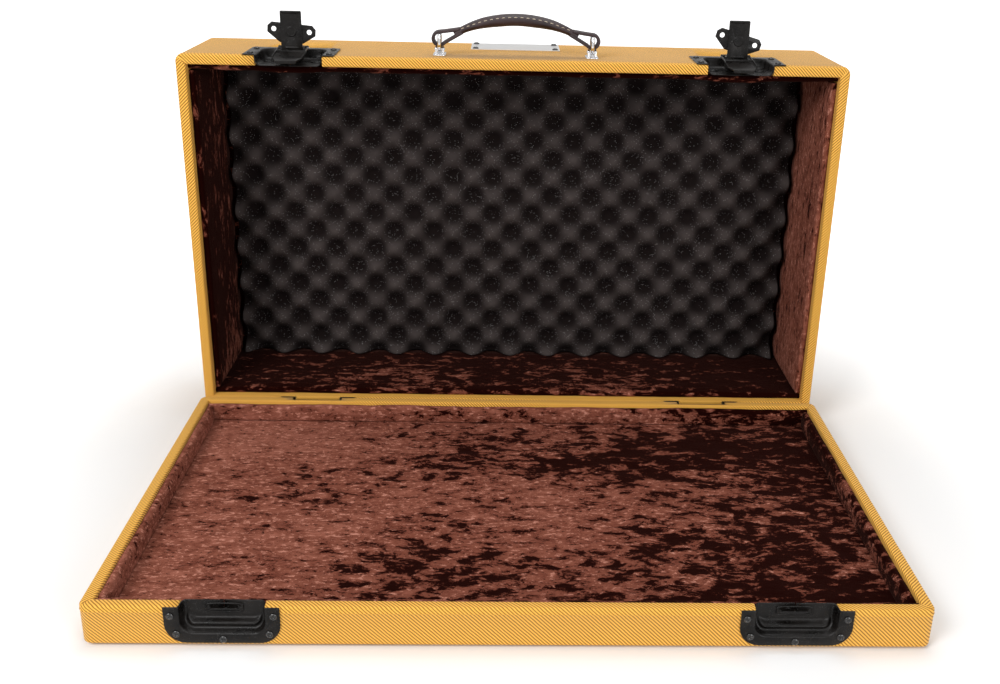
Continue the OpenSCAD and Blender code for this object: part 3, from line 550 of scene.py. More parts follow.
def plush_finish(name, stretch, light, lean):
    """Rose-brown pile with ragged maroon islands and pale flecks: a detailed noise cut at two
    levels, whose share of dark grows in large clouds and, by lean, along x."""
    material, tree, shader = new_finish(
        name, Roughness=0.9, Sheen_Weight=0.05, Sheen_Roughness=0.4,
        Sheen_Tint=(0.9, 0.42, 0.33, 1.0), Specular_IOR_Level=0.02)
    point = object_point(tree)
    placed = stretched(tree, point, stretch)
    ragged = noise(tree, placed, 78.0, 8.0, 0.74, 0.35)
    flecks = noise(tree, placed, 260.0, 6.0, 0.74, 0.25)
    x = put(tree, "ShaderNodeSeparateXYZ", {0: point}).outputs[0]
    lie = total(tree, light - 0.205, (ragged, 1.0), (noise(tree, placed, 6.0), 0.42), (x, lean))
    pile = ramp(tree, lie, [
        (0.42, (0.010, 0.0010, 0.0005)), (0.450, (0.030, 0.0050, 0.0028)),
        (0.464, (0.150, 0.043, 0.027)), (0.56, (0.205, 0.064, 0.040)),
        (0.68, (0.30, 0.105, 0.070))])
    rosy = between(tree, lie, 0.46, 0.52)
    pale = maths(tree, "MULTIPLY", between(tree, flecks, 0.555, 0.60), rosy)
    pile = mix(tree, pale, pile, (0.50, 0.215, 0.155))
    pile = mix(tree, between(tree, flecks, 0.405, 0.375), pile, (0.010, 0.0016, 0.0010))
    fuzz = use_group(tree, GRAIN, Vector=point, Scale=1400.0)
    feed(tree, shader, height=total(tree, 0.0, (ragged, 0.8), (fuzz, 0.2)), distance=0.004,
         strength=0.5, Base_Color=pile)
    return material


PLUSH_LONG = plush_finish("plush_lengthwise", (0.5, 1.0, 1.1), -0.018, -0.29)
# Painted shade: the open lid's plush is set darker, partly for its darker patches and partly as
# shade inside the lid.
PLUSH_LID = plush_finish("plush_lid", (0.5, 1.0, 1.1), -0.13, -0.08)
PLUSH_WALL = plush_finish("plush_lid_wall", (1.0, 1.2, 0.5), -0.03, 0.20)
print("plush finishes:", PLUSH_LONG.name, PLUSH_LID.name, PLUSH_WALL.name)

# %% [markdown]
# ## Padded walls and floors
# Each wall pad is a long bolster: flat where it is glued, crowned on its face
# and round along its open edge. Its outline is carried along the wall, and the
# padding's unevenness moves the face and the open edge by a millimetre or so.
# The floor pads are thin slabs whose tops rise and sink the same way.

# %% Wall pads
INNER_X, INNER_Y = HALF_W - WALL, HALF_D - WALL


def bolster(name, node, length, thick, tall, place, body, material, seed, swell=None):
    """A closed bolster: a crowned outline (back, round edge, face, foot) carried along its
    length, pushed out by noise that fades at its back and foot."""
    steps = max(int(length / 3.2), 12)
    along = np.linspace(-length / 2, length / 2, steps + 1)[:, None]
    r = thick / 2
    up = np.linspace(0.6, tall - r, 9)
    down, edge = up[::-1], np.radians(np.linspace(180, 0, 10))[1:-1]
    back, foot = np.zeros(up.size), np.zeros(4)
    out = np.concatenate([back, r + r * np.cos(edge), np.full(down.size, thick),
                          np.linspace(thick - 0.8, 0.4, foot.size)])
    high = np.concatenate([up, tall - r + r * np.sin(edge), down, foot])
    free = np.concatenate([back, np.linspace(0.3, 1, edge.size),
                           np.clip(down / (0.3 * tall), 0, 1), foot])
    crown = np.concatenate([back, 0 * edge, 0.9 * np.sin(np.pi * np.clip(down / tall, 0, 1)), foot])
    wave = soft_noise(along, high, 38.0, seed) * 0.6 + soft_noise(along, high, 9.0, seed + 1) * 0.16
    bulge = 0.0 if swell is None else swell(along)
    end = np.clip(1 - (np.abs(along) / (length / 2)) ** 60, 0.86, 1)
    out_now = (out + free * (wave + bulge - 0.6) + crown) * end
    rise = soft_noise(along, 0, 46.0, seed + 2) * 0.9 + soft_noise(along, 0, 12.0, seed + 3) * 0.3
    high_now = high + (high > 0.5 * tall) * rise * np.clip(high / tall, 0, 1) ** 3
    grid = xyz(along, out_now, high_now)
    piece = make_tubes(name, [grid], place, body, material)
    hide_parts(node)
    return piece


def line_walls(body, sides, thick, tall, place, finishes, seed, swell=None):
    """Four bolsters round a shell, at quarter turns from the front: the first and third run its
    full width, and the others fit between them. Place takes across, back and up."""
    for turn, (c, s) in enumerate(QUARTERS):
        between_ends = turn % 2
        reach = INNER_X if between_ends else INNER_Y
        length = 2 * (INNER_Y - thick) - 1.0 if between_ends else 2 * INNER_X - 0.4

        def onto_wall(p):
            x, y = p[..., 0], p[..., 1] - reach
            return place(x * c - y * s, x * s + y * c, p[..., 2])
        pad = bolster(f"plush_{body}_{sides[turn]}", f"{body}_pad_{sides[turn]}", length,
                      thick, tall, onto_wall, body, finishes[between_ends], seed + 5 * turn,
                      swell if turn == 0 else None)
        print(pad.name, len(pad.data.polygons), "faces")


PAD_FOOT, PAD_TOP = [corner[2] for corner in box_mm("base_pad_front")]
line_walls("base", ("front", "right", "back", "left"), 9.0, PAD_TOP - PAD_FOOT,
           lambda across, back, up: xyz(across, back + MID_Y, up + PAD_FOOT),
           (PLUSH_LONG, PLUSH_LONG), 10)

# %% Lid wall pads
LINING_Y, LINING_BACK_Y = [corner[1] for corner in box_mm("lid_lining")]


def over_latches(x):
    """Extra swelling where the plush passes over the backs of the latch dishes."""
    return 2.2 * np.exp(-((np.abs(x) - LATCH_X) / 34.0) ** 4)


line_walls("lid", ("front", "right", "rear", "left"), 8.0, LINING_Y - box_mm("lid_pad_front")[0][1],
           lambda across, back, up: xyz(across, LINING_Y - up, LID_MID_Z - back),
           (PLUSH_LID, PLUSH_WALL), 40, over_latches)

# %% Floor pads


def slab(name, node, half_x, half_y, height, place, body, slot, material, step=4.0):
    """A closed slab over a rectangle: a top grid raised by a height function, and walls down to
    a flat underside filled with one face."""
    nx, ny = int(2 * half_x / step), int(2 * half_y / step)
    x, y = np.meshgrid(np.linspace(-half_x, half_x, nx + 1), np.linspace(-half_y, half_y, ny + 1))
    points = xyz(x, y, height(x, y)).reshape(-1, 3)
    wide, last = nx + 1, (nx + 1) * (ny + 1) - 1
    ring = np.concatenate([np.arange(nx), nx + wide * np.arange(ny), last - np.arange(nx),
                           wide * (ny - np.arange(ny))])
    start, n = len(points), len(ring)
    k = np.arange(n)
    walls = np.stack([ring, start + k, start + (k + 1) % n, np.roll(ring, -1)], -1).tolist()
    faces = grid_faces(ny + 1, wide) + walls + [(start + k[::-1]).tolist()]
    points = np.concatenate([points, points[ring] * [1, 1, 0]])
    piece = make_piece(name, place(points), faces, body, material)
    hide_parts(node)
    return piece


def pad_top(thick, seed):
    """The height of a thin pad: just under its thickness, raised and sunk by two noises."""
    return lambda x, y: (thick - 0.7 + soft_noise(x, y, 38.0, seed) * 0.7
                         + soft_noise(x, y, 13.0, seed + 1) * 0.35)


def against_lid_top(p):
    """Onto the open lid's upright board; x across, y up, z towards the rim."""
    return xyz(p[..., 0], LINING_BACK_Y - p[..., 2], LID_MID_Z + p[..., 1])


FLOOR_LOW = box_mm("base_floor_pad")[0][2]
PAD_HALF = (INNER_X - 0.2, INNER_Y - 0.2)
floor_plush = slab("plush_base_floor", "base_floor_pad", *PAD_HALF, pad_top(6.0, 70),
                   lambda p: p + [0, MID_Y, FLOOR_LOW], "base", "crushed_velvet", PLUSH_LONG)
lid_plush = slab("plush_lid_floor", "lid_lining", *PAD_HALF, pad_top(3.0, 80),
                 against_lid_top, "lid", "crushed_velvet", PLUSH_LID)
print("floors:", len(floor_plush.data.polygons), len(lid_plush.data.polygons), "faces")

# %% [markdown]
# ## Egg-crate foam
# The lid holds a sheet of convoluted foam, cut so that rows of round crests
# stand between rows of valleys. Its height is the product of two cosines, made
# a little sharper at the crests. The sheet is charcoal with tiny pale cells; its
# crests are painted lighter as painted light and its valleys darker as painted shade.

# %% Foam finish and sheet
VALLEY_Y, CREST_Y = 0.293, 0.279           # metres: where painted shade darkens the foam with depth, from crests to valleys


def foam_finish():
    """Charcoal foam: open cells as a fine Voronoi height and pale specks, with painted light
    and shade: crests painted lighter, valleys painted darker.
    """
    material, tree, shader = new_finish("foam_charcoal", Roughness=0.95, Specular_IOR_Level=0.06)
    point = object_point(tree)
    cloud = use_group(tree, MOTTLE, Vector=point, Scale=50.0, Warp=0.3, Low=0.3, High=0.7)
    body = mix(tree, cloud, (0.029, 0.0225, 0.021), (0.053, 0.042, 0.039))
    deep = put(tree, "ShaderNodeSeparateXYZ", {0: point}).outputs[1]
    # Painted light and shade: the crests are painted lighter and the valleys darker with depth.
    valley_shade = between(tree, deep, CREST_Y, VALLEY_Y, "SMOOTHSTEP")
    body = mix(tree, valley_shade, mix(tree, 0.35, body, (0.075, 0.062, 0.060)), (0.0085, 0.0058, 0.0055))
    specks = use_group(tree, SPECKS, Vector=point, Scale=640.0, Share=0.20, Size=0.20)
    cells = put(tree, "ShaderNodeTexVoronoi", {"Vector": point, "Scale": 900.0})
    feed(tree, shader, height=cells.outputs["Distance"], distance=0.0006, strength=0.6,
         Base_Color=mix(tree, specks, body, (0.42, 0.40, 0.40)))
    return material


FOAM = foam_finish()
FOAM_LOW, FOAM_HIGH = box_mm("lid_foam")
FOAM_HALF = (FOAM_HIGH - FOAM_LOW) / 2
WAVES_ACROSS, WAVES_UP, WEB, BUMP = 14, 8, 9.0, 18.0


def crests(x, y):
    """Web thickness plus bumps: half of one plus cosine across times cosine up, eased towards
    rounded points."""
    wave = (np.cos(np.pi * WAVES_ACROSS * (x / FOAM_HALF[0] + 1))
            * np.cos(np.pi * WAVES_UP * (y / FOAM_HALF[2] - 1)))
    uneven = soft_noise(x, y, 60.0, 90) * 0.5 + soft_noise(x, y, 7.0, 91) * 0.18
    return WEB + BUMP * ((1 + wave) / 2) ** 1.12 + uneven - 0.5


def on_foam_back(p):
    """Onto the plush behind the foam."""
    return xyz(p[..., 0], FOAM_HIGH[1] - p[..., 2], FOAM_LOW[2] + FOAM_HALF[2] + p[..., 1])


foam = slab("foam_sheet", "lid_foam", FOAM_HALF[0], FOAM_HALF[2], crests, on_foam_back, "lid",
            "foam", FOAM, step=2.0)
print("foam:", len(foam.data.polygons), "faces")

# %% [markdown]
# ## Metal finishes
# The latches are pressed steel with a satin black powder coat: a fine orange
# peel with tiny glints, and bare steel shining through where edges rub. Pins
# and the handle's fittings are chrome, most screws are a glossier black, and
# the bare plate is brushed along its length.

# %% Metal and rubber finishes


def black_finish():
    """Powder coat: near black with small glints, fine bumps and patches of softer shine."""
    material, tree, shader = new_finish("black_powder_coat", Specular_IOR_Level=0.20)
    point = object_point(tree)
    specks = use_group(tree, SPECKS, Vector=point, Scale=1500.0, Share=0.10, Size=0.30)
    cloud = use_group(tree, MOTTLE, Vector=point, Scale=45.0, Warp=0.5, Low=0.35, High=0.65)
    worn = use_group(tree, MOTTLE, Vector=point, Scale=240.0, Warp=2.0, Low=0.66, High=0.74)
    body = mix(tree, cloud, (0.0022, 0.0016, 0.0013), (0.0075, 0.0060, 0.0052))
    tone = mix(tree, specks, body, (0.09, 0.088, 0.086))
    tone = mix(tree, maths(tree, "MULTIPLY", worn, 0.35), tone, (0.16, 0.155, 0.15))
    grain = use_group(tree, GRAIN, Vector=point, Scale=1100.0)
    feed(tree, shader, height=grain, distance=0.0003, strength=0.5, Base_Color=tone,
         Roughness=total(tree, 0.25, (cloud, 0.10)))
    return material


def bright_finish(name, tint, rough_low, rough_span, scratch, scale, depth):
    """Bright metal: tint and roughness vary in streaks or clouds, with a very fine height."""
    material, tree, shader = new_finish(name, Metallic=1.0)
    streak = stretched(tree, object_point(tree), scratch)
    lines = noise(tree, streak, scale, 4.0, 0.7)
    tone = mix(tree, lines, tuple(0.82 * c for c in tint), tint)
    feed(tree, shader, height=lines, distance=depth, strength=0.6, Base_Color=tone,
         Roughness=total(tree, rough_low, (lines, rough_span)))
    return material


def clouded_finish(name, cloud, dark, light, rough, peel=None, **constants):
    """A tone and a roughness (start, gain) that drift together in clouds of (scale, warp, low,
    high), with a fine grain of scale peel if one is given."""
    material, tree, shader = new_finish(name, **constants)
    point = object_point(tree)
    scale, warp, low, high = cloud
    share = use_group(tree, MOTTLE, Vector=point, Scale=scale, Warp=warp, Low=low, High=high)
    feed(tree, shader, height=peel and use_group(tree, GRAIN, Vector=point, Scale=peel),
         distance=0.0003, strength=0.5, Base_Color=mix(tree, share, dark, light),
         Roughness=total(tree, rough[0], (share, rough[1])))
    return material


def both(*parts):
    """The left and the right node of each part."""
    return [f"{side}_{part}" for _, side in BOTH_SIDES for part in parts]


BLACK = black_finish()
SCREW = clouded_finish(
    "black_screw", (400.0, 0.8, 0.4, 0.7), (0.0030, 0.0026, 0.0024), (0.014, 0.012, 0.011),
    (0.14, 0.15), Specular_IOR_Level=0.5, Coat_Weight=0.25, Coat_Roughness=0.06)
CHROME = bright_finish("chrome", (0.84, 0.84, 0.85), 0.08, 0.10, (1, 1, 1), 80.0, 0.00001)
PLATE = bright_finish("brushed_plate", (0.93, 0.92, 0.91), 0.24, 0.22, (0.02, 1, 1), 1800.0,
                      0.00008)
RUBBER = clouded_finish(
    "foot_rubber", (150.0, 0.5, 0.4, 0.8), (0.022, 0.022, 0.022), (0.06, 0.058, 0.055),
    (0.65, 0.2), 700.0, Specular_IOR_Level=0.3)
for finish, nodes in [
        (RUBBER, ["feet"]), (PLATE, ["nameplate"]),
        (SCREW, ["hinge_dish_screws", "hinge_leaf_screws"]),
        (CHROME, ["foot_screws", "hinge_pins", "handle_brackets", "handle_pins", "handle_bails",
                  *both("pivot_pin", "link_pin")]),
        (BLACK, ["latch_rivets", *both(
            "keeper_dish", "hinge_dish", "latch_dish", "pivot_block", "hinge_leaf", "lever",
            "lock_rivet", "lock_plate", "link")])]:
    for node in nodes:
        for material_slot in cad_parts[node].material_slots:
            material_slot.material = finish
print("metal finishes:", BLACK.name, CHROME.name, PLATE.name, RUBBER.name)

# %% [markdown]
# ## Eased edges on the pressed parts
# Pressed and stamped steel has small round edges that catch the light. Each
# stamped node is copied, its loose triangles are merged and its flat faces
# joined, and a Bevel modifier rounds the sharp edges. The copy stands in for
# the node, in exactly the same place.

# %% Ease the stamped parts


def eased(node, body, material, width):
    """A copy of a CAD node with its edges rounded by the given width in millimetres."""
    work = bmesh.new()
    work.from_mesh(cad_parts[node].data)
    bmesh.ops.remove_doubles(work, verts=work.verts, dist=2e-6)
    bmesh.ops.dissolve_limit(work, angle_limit=math.radians(0.6), verts=work.verts,
                             edges=work.edges)
    mesh = bpy.data.meshes.new(node + "_eased")
    work.to_mesh(mesh)
    work.free()
    mesh.materials.clear()
    mesh.materials.append(material)
    piece = in_scene(node + "_eased", mesh)
    bevel = piece.modifiers.new("edges", "BEVEL")
    bevel.width, bevel.segments = width * MM, 2
    bevel.limit_method, bevel.angle_limit = "ANGLE", math.radians(38)
    applied(piece)
    piece.data.polygons.foreach_set("use_smooth", [True] * len(piece.data.polygons))
    piece.data.set_sharp_from_angle(angle=math.radians(42))
    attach(piece, body)
    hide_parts(node)
    return piece


for _, side in BOTH_SIDES:
    for part, body, width in [
            ("lever", side + "_lever", 0.35), ("link", side + "_link", 0.35),
            ("lock_plate", side + "_lock_plate", 0.35), ("pivot_block", "lid", 0.4),
            ("hinge_leaf", "lid", 0.4), ("hinge_dish", "base", 0.3)]:
        piece = eased(f"{side}_{part}", body, BLACK, width)
        print(piece.name, len(piece.data.polygons), "faces")
eased("nameplate", "lid", PLATE, 0.25)
eased("handle_brackets", "lid", CHROME, 0.3)

# %% [markdown]
# ## Pressed pans
# A latch dish and a keeper are each stamped from one sheet: a flat flange, a
# lip, a steep wall with round corners, and a floor. A pan is a nest of outlines,
# each with its own depth, from the flange's edge to the middle of the floor.
# Joining outline to outline gives the front of the sheet, and Solidify gives it
# its thickness behind.

# %% Pan surface
PAN_STEPS = 11


def pan_outline(half, drop, radius):
    """Points of a pocket outline that is open at the rim: down one side, round a corner, along
    the foot and back up, evenly in each part."""
    t = np.linspace(0, 1, PAN_STEPS)
    a = np.radians(np.linspace(180, 270, PAN_STEPS))[1:]
    side = np.stack([np.full(PAN_STEPS, -half), -t * (drop - radius)], -1)
    corner = np.stack([radius - half + radius * np.cos(a), radius - drop + radius * np.sin(a)], -1)
    foot = np.stack([(t[1:] - 1) * (half - radius), np.full(PAN_STEPS - 1, -drop)], -1)
    left = np.concatenate([side, corner, foot])
    return np.concatenate([left, left[-2::-1] * [-1, 1]])


def pan_depth(at_side, at_foot):
    """Depth along a pocket outline: at_side on the sides, at_foot on the foot, eased round the
    corner between them."""
    corner = smooth_step(np.linspace(0, 1, PAN_STEPS)[1:])
    left = np.concatenate([np.zeros(PAN_STEPS), corner, np.ones(PAN_STEPS - 1)])
    return at_side + (at_foot - at_side) * np.concatenate([left, left[-2::-1]])


def pan(name, node, nest, place, body):
    """One stamped sheet from nested outlines: half width, drop, corner radius, depth at the
    sides and, where it differs, depth at the foot."""
    rows = np.stack([np.column_stack([pan_outline(*line[:3]), pan_depth(line[3], line[-1])])
                     for line in nest])
    count, width = rows.shape[:2]
    piece = make_piece(name, place(rows), grid_faces(count, width), body, BLACK,
                       closed=False)
    outward = Vector(place(np.array([0, 0, 1.0])) - place(np.zeros(3)))
    on_flange = piece.data.polygons[2 * (width - 1) + width // 2]
    if on_flange.normal.dot(outward) < 0:
        piece.data.flip_normals()
    wall = piece.modifiers.new("sheet", "SOLIDIFY")
    wall.thickness, wall.offset, wall.use_even_offset = 0.9 * MM, -1.0, False
    applied(piece)
    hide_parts(node)
    return piece


# %% Latch dishes and keepers
LATCH_NEST = [
    (53.5, 64.0, 3.0, 0.9), (53.5, 64.0, 3.0, 1.3), (53.2, 63.7, 3.0, 1.5), (41.5, 56.0, 13.5, 1.5),
    (40.2, 54.7, 12.6, 1.45), (39.4, 53.9, 12.0, 1.0), (38.9, 53.4, 11.6, 0.0),
    (38.6, 53.1, 11.3, -2.5), (38.2, 52.7, 11.0, -5.5), (37.5, 52.0, 10.4, -7.8),
    (36.3, 50.8, 9.4, -9.6), (34.6, 49.1, 8.0, -10.6), (32.4, 46.9, 6.6, -11.0),
    (16.0, 30.0, 3.0, -11.0), (0.4, 12.0, 0.2, -11.0)]
KEEPER_NEST = [
    (53.5, 39.0, 20.0, 0.9), (53.5, 39.0, 20.0, 1.3), (53.2, 38.7, 19.8, 1.5),
    (41.8, 31.0, 14.0, 1.5), (40.4, 29.9, 12.8, 1.35), (39.4, 29.0, 12.0, 0.6, 0.7),
    (38.9, 28.4, 11.5, -1.0, -0.6), (38.5, 27.9, 11.0, -3.4, -2.4), (38.1, 27.2, 10.5, -6.0, -4.4),
    (37.7, 26.2, 9.9, -8.0, -5.7), (37.2, 25.0, 9.3, -9.4, -6.1), (36.6, 23.9, 8.8, -10.3, -5.6),
    (36.0, 23.0, 8.4, -10.8, -4.6), (35.4, 22.1, 8.0, -11.0, -3.9), (34.8, 21.2, 7.6, -11.0, -3.8),
    (34.2, 20.4, 7.3, -11.0, -4.5), (33.6, 19.8, 7.0, -11.0, -6.0), (33.0, 19.2, 6.6, -11.0, -8.4),
    (32.3, 18.4, 6.0, -11.0, -10.2), (31.4, 17.2, 5.4, -11.0, -10.9), (30.0, 16.0, 4.6, -11.0),
    (0.4, 8.0, 0.2, -11.0)]
for sign, side in BOTH_SIDES:
    made = [pan(side + "_latch_pan", side + "_latch_dish", LATCH_NEST,
                lambda p: on_lid_face(p * [1, -1, 1], sign), "lid"),
            pan(side + "_keeper_pan", side + "_keeper_dish", KEEPER_NEST,
                lambda p: on_keeper(p, sign), "base")]
    print([(piece.name, len(piece.data.polygons)) for piece in made])

# %% [markdown]
# Each keeper has a tab that the latch's claw hooks, in a small pocket with a
# raised bead round it. The tab is a box with round edges and the bead a tube,
# and both are superellipses: circles whose sine and cosine are squared off.

# %% Hook tabs


def cushion_box(low, high):
    """A box with rounded edges: a superellipse ring (power 5) carried across x and closed in at
    both ends."""
    centre, half = (np.array(high) + low) / 2, (np.array(high) - low) / 2
    t = np.array([-1, -0.97, -0.9, 0.9, 0.97, 1])[:, None]
    size = np.array([0.55, 0.85, 1, 1, 0.85, 0.55])[:, None]
    a = full_turn(24)
    return xyz(centre[0] + t * half[0], centre[1] + half[1] * squared_off(np.cos(a), 0.4) * size,
               centre[2] + half[2] * squared_off(np.sin(a), 0.4) * size)


def pocket_rim(half_x, half_y, up, floor, radius):
    """A raised bead round a pocket: a tube of the radius carried round a superellipse (power 5)."""
    a, b = full_turn(72).T, full_turn(10)
    x = (half_x + radius * np.cos(b)) * squared_off(np.cos(a), 0.4)
    y = (half_y + radius * np.cos(b)) * squared_off(np.sin(a), 0.4)
    return xyz(x, up + y, floor + radius * np.sin(b))


for sign, side in BOTH_SIDES:
    tab = make_tubes(side + "_hook_tab", [cushion_box((-12.5, -8.5, -11.6), (12.5, -7.0, -7.2))],
                     lambda p: on_keeper(p, sign), "base", BLACK,
                     rings=[pocket_rim(17.0, 4.6, -8.2, -11.0, 0.9)])
print("hook tabs:", len(tab.data.polygons), "faces each")

# %% [markdown]
# ## Cross-head screws
# Every screw is a pan head with a cross recess. The head is a dome on a polar
# grid; the recess is two crossing slots that deepen towards the middle,
# subtracted from the dome's height. One screw's grid is repeated at every place.

# %% Screw heads
RINGS, SPOKES, HEAD_R, SHANK_R = 14, 40, 3.7, 1.55
SLOT_HALF, SLOT_REACH = 0.62, 0.62 * HEAD_R


def screw_grid(height, turn):
    """A pan head, from the shank's end to its centre: at radius r its top is h(0.35 + 0.65(1 -
    (r/R)^3.2)), less a cross of two slots that slope in."""
    r = HEAD_R * np.linspace(1, 0.02, RINGS)[:, None]
    a = full_turn(SPOKES)
    x, y = r * np.cos(a), r * np.sin(a)
    c, s = math.cos(turn), math.sin(turn)
    u, v = x * c + y * s, y * c - x * s

    def slot_depth(p, q):
        """Depth of one slot, p along it and q across it."""
        wide = np.clip((SLOT_HALF - np.abs(q)) / 0.18, 0, 1)
        long = np.clip((SLOT_REACH - np.abs(p)) / 0.5, 0, 1)
        slope = 0.55 + 0.45 * (1 - np.abs(p) / SLOT_REACH)
        return wide * long * slope * min(1.25, 0.75 * height)
    dome = height * (0.35 + 0.65 * (1 - (r / HEAD_R) ** 3.2))
    dome = dome - np.maximum(slot_depth(u, v), slot_depth(v, u))
    below = [xyz(share * x[:1], share * y[:1], z)
             for share, z in ((SHANK_R / HEAD_R, -8.0), (SHANK_R / HEAD_R, 0.0), (1, 0.0))]
    return np.concatenate([*below, xyz(x, y, dome)])


def screws(name, node, places, seat, height, place, body, material, seed):
    """One mesh of screws at places in a plane, each turned as it happened to be driven."""
    chance = np.random.default_rng(seed)
    heads = [screw_grid(height, chance.uniform(0, np.pi / 2)) + [across, up, seat]
             for across, up in places]
    piece = make_tubes(name, heads, place, body, material)
    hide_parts(node)
    return piece


def spots(across, up, middle=0):
    """Places in a plane: each distance up at each distance across, on both sides of the case."""
    middles = (-middle, middle) if middle else (0,)
    return [(m + x, y) for m in middles for x in across for y in up]


SHEET = 1.5                                # how far a pressed dish stands out of the wall
keeper_places = [(m + x, y) for m in (-LATCH_X, LATCH_X)
                 for x, y in [(-47.5, -9.5), (47.5, -9.5), (-43, -29), (43, -29), (0, -34.5)]]
made = [
    screws("keeper_screw_heads", "keeper_screws", keeper_places, SHEET, 2.0,
           lambda p: on_keeper(p, 0), "base", SCREW, 1),
    screws("latch_screw_heads", "latch_screws", spots((-46.5, 46.5), (13, 51), LATCH_X), SHEET, 2.0,
           on_lid_face, "lid", SCREW, 2),
    screws("plate_screw_heads", "nameplate_screws", spots((-50, 50), (95, 139)), 1.0, 2.0,
           on_lid_face, "lid", SCREW, 3),
    screws("hinge_dish_screw_heads", "hinge_dish_screws",
           spots((-39.75, 39.75), (-9, -29), HINGE_X), SHEET, 2.0,
           lambda p: on_base_back(p, 0), "base", SCREW, 5),
    screws("hinge_leaf_screw_heads", "hinge_leaf_screws", spots((-28.5, 28.5), (10, 30), HINGE_X),
           2.0, 2.0, lambda p: xyz(p[..., 0], RIM_Y + p[..., 1], LID_LOW[2] - p[..., 2]),
           "lid", SCREW, 6),
    screws("bracket_screw_heads", "handle_bracket_screws", spots((-92, 92), (27.5, 48.5)),
           SHEET, 0.8, on_lid_face, "lid", CHROME, 4),
]
print([(piece.name, len(piece.data.polygons)) for piece in made])

# %% [markdown]
# ## Leather handle
# The grip is a padded bow of dark brown leather, stitched along both edges,
# whose ends are folded round the chrome bails. The bow is a rounded section
# carried along an arc; width and thickness are functions of the distance from
# the middle, so it narrows into the loops. Each loop is a band turned about its
# bail. The stitches are small capsules laid on the surface at even steps.

# %% Leather and thread finishes


def leather_finish():
    """Dark brown leather: cloudy tone, pebbled grain from a Voronoi pattern, and creases."""
    material, tree, shader = new_finish(
        "leather_brown", Specular_IOR_Level=0.38, Coat_Weight=0.10, Coat_Roughness=0.3)
    point = object_point(tree)
    cloud = use_group(tree, MOTTLE, Vector=point, Scale=28.0, Warp=0.8, Low=0.32, High=0.7)
    tone = mix(tree, cloud, (0.012, 0.0050, 0.0056), (0.034, 0.0165, 0.0175))
    pebble = put(tree, "ShaderNodeTexVoronoi", {"Vector": point, "Scale": 700.0},
                 feature="SMOOTH_F1")
    crease = use_group(tree, MOTTLE, Vector=point, Stretch=(1.0, 4.0, 1.0), Scale=60.0, Warp=2.0,
                       Low=0.45, High=0.55)
    feed(tree, shader, height=total(tree, pebble.outputs["Distance"], (crease, 0.35)),
         distance=0.0004, strength=0.55, Base_Color=tone,
         Roughness=total(tree, 0.40, (cloud, 0.16)))
    return material


def thread_finish():
    """Waxed cream thread with a twist."""
    material, tree, shader = new_finish("thread_cream", Roughness=0.6, Sheen_Weight=0.2)
    twist = put(tree, "ShaderNodeTexWave", {"Vector": object_point(tree), "Scale": 900.0,
                "Distortion": 1.0}, bands_direction="DIAGONAL").outputs["Fac"]
    feed(tree, shader, height=twist, distance=0.0002, strength=0.6,
         Base_Color=mix(tree, twist, (0.42, 0.33, 0.22), (0.72, 0.62, 0.46)))
    return material


LEATHER, THREAD = leather_finish(), thread_finish()
print("handle finishes:", LEATHER.name, THREAD.name)

# %% Grip
GRIP_UP = 38.0                             # the handle's line, up from the lid's rim
BOW_R, BOW_N = 150.0, -105.5               # the bow's radius, and its centre below the wall
BOW_HALF = math.radians(29.5)
SECTION = 2.3                              # 2 is an ellipse, and more is squarer
STITCH_INSET = 1.1


def along_bow(angle, middle, end, start, span):
    """A size along the bow: middle up to start degrees, then eased to end over span degrees."""
    t = (np.abs(angle) - math.radians(start)) / math.radians(span)
    return middle - (middle - end) * smooth_step(t)


def grip_width(angle):
    """Half width: 12.5 in the middle, eased to 6.8 towards the loops."""
    return along_bow(angle, 12.5, 6.8, 19, 8)


def grip_thickness(angle):
    """Height above the arc: 5.5 in the middle, eased to 4.2 at the ends."""
    return along_bow(angle, 5.5, 4.2, 14, 14)


def grip_under(angle):
    """Depth of the padding below the arc: 8.6 in the middle, eased to 4.2 at the ends."""
    return along_bow(angle, 8.6, 4.2, 6, 21)


def bow_point(angle, across, lift):
    """A point on the bow: turned by an angle about the arc's centre, across the handle, and
    lifted from the arc."""
    radius = BOW_R + lift
    return xyz(radius * np.sin(angle), GRIP_UP + across, BOW_N + radius * np.cos(angle))


turns, rim = np.linspace(-BOW_HALF, BOW_HALF, 121)[:, None], full_turn(44)
across = grip_width(turns) * squared_off(np.cos(rim), 2 / SECTION)
lift = np.where(np.sin(rim) > 0, grip_thickness(turns), grip_under(turns))
lift = lift * squared_off(np.sin(rim), 2 / SECTION)
from_seam = np.abs(across) - (grip_width(turns) - STITCH_INSET)
seam_dip = 0.35 * np.exp(-(from_seam / 0.7) ** 2) * (np.abs(np.sin(rim)) > 0.2)
bow = bow_point(turns, across, lift - np.sign(lift) * seam_dip)
grip = make_tubes("grip_leather", [bow], on_lid_face, "handle", LEATHER)
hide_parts("handle_grip")
print("grip:", len(grip.data.polygons), "faces")

# %% End loops
LOOP_X, LOOP_N, LOOP_R = 92.0, 19.7, 7.7   # the bail's bar, and the band's middle line round it


def loop_path():
    """The middle line of a folded end, right-hand side: from inside the bow's top, over and
    round the bail's bar on a circle, and straight back under the bow."""
    start = bow_point(math.radians(26.5), 0, 2.4)[[0, 2]]
    back = bow_point(math.radians(26.0), 0, -2.4)[[0, 2]]
    a = np.radians(np.linspace(84, -142, 40))
    ring = np.stack([LOOP_X + LOOP_R * np.cos(a), LOOP_N + LOOP_R * np.sin(a)], -1)
    t = np.linspace(0, 1, 12)[:, None]
    pull = ring[0] + [-9.0, 0.9]
    bend_in = (1 - t) ** 2 * start + 2 * t * (1 - t) * pull + t ** 2 * ring[0]
    run_out = ring[-1] + t[1:] * (back - ring[-1])
    return np.concatenate([bend_in[:-1], ring, run_out])


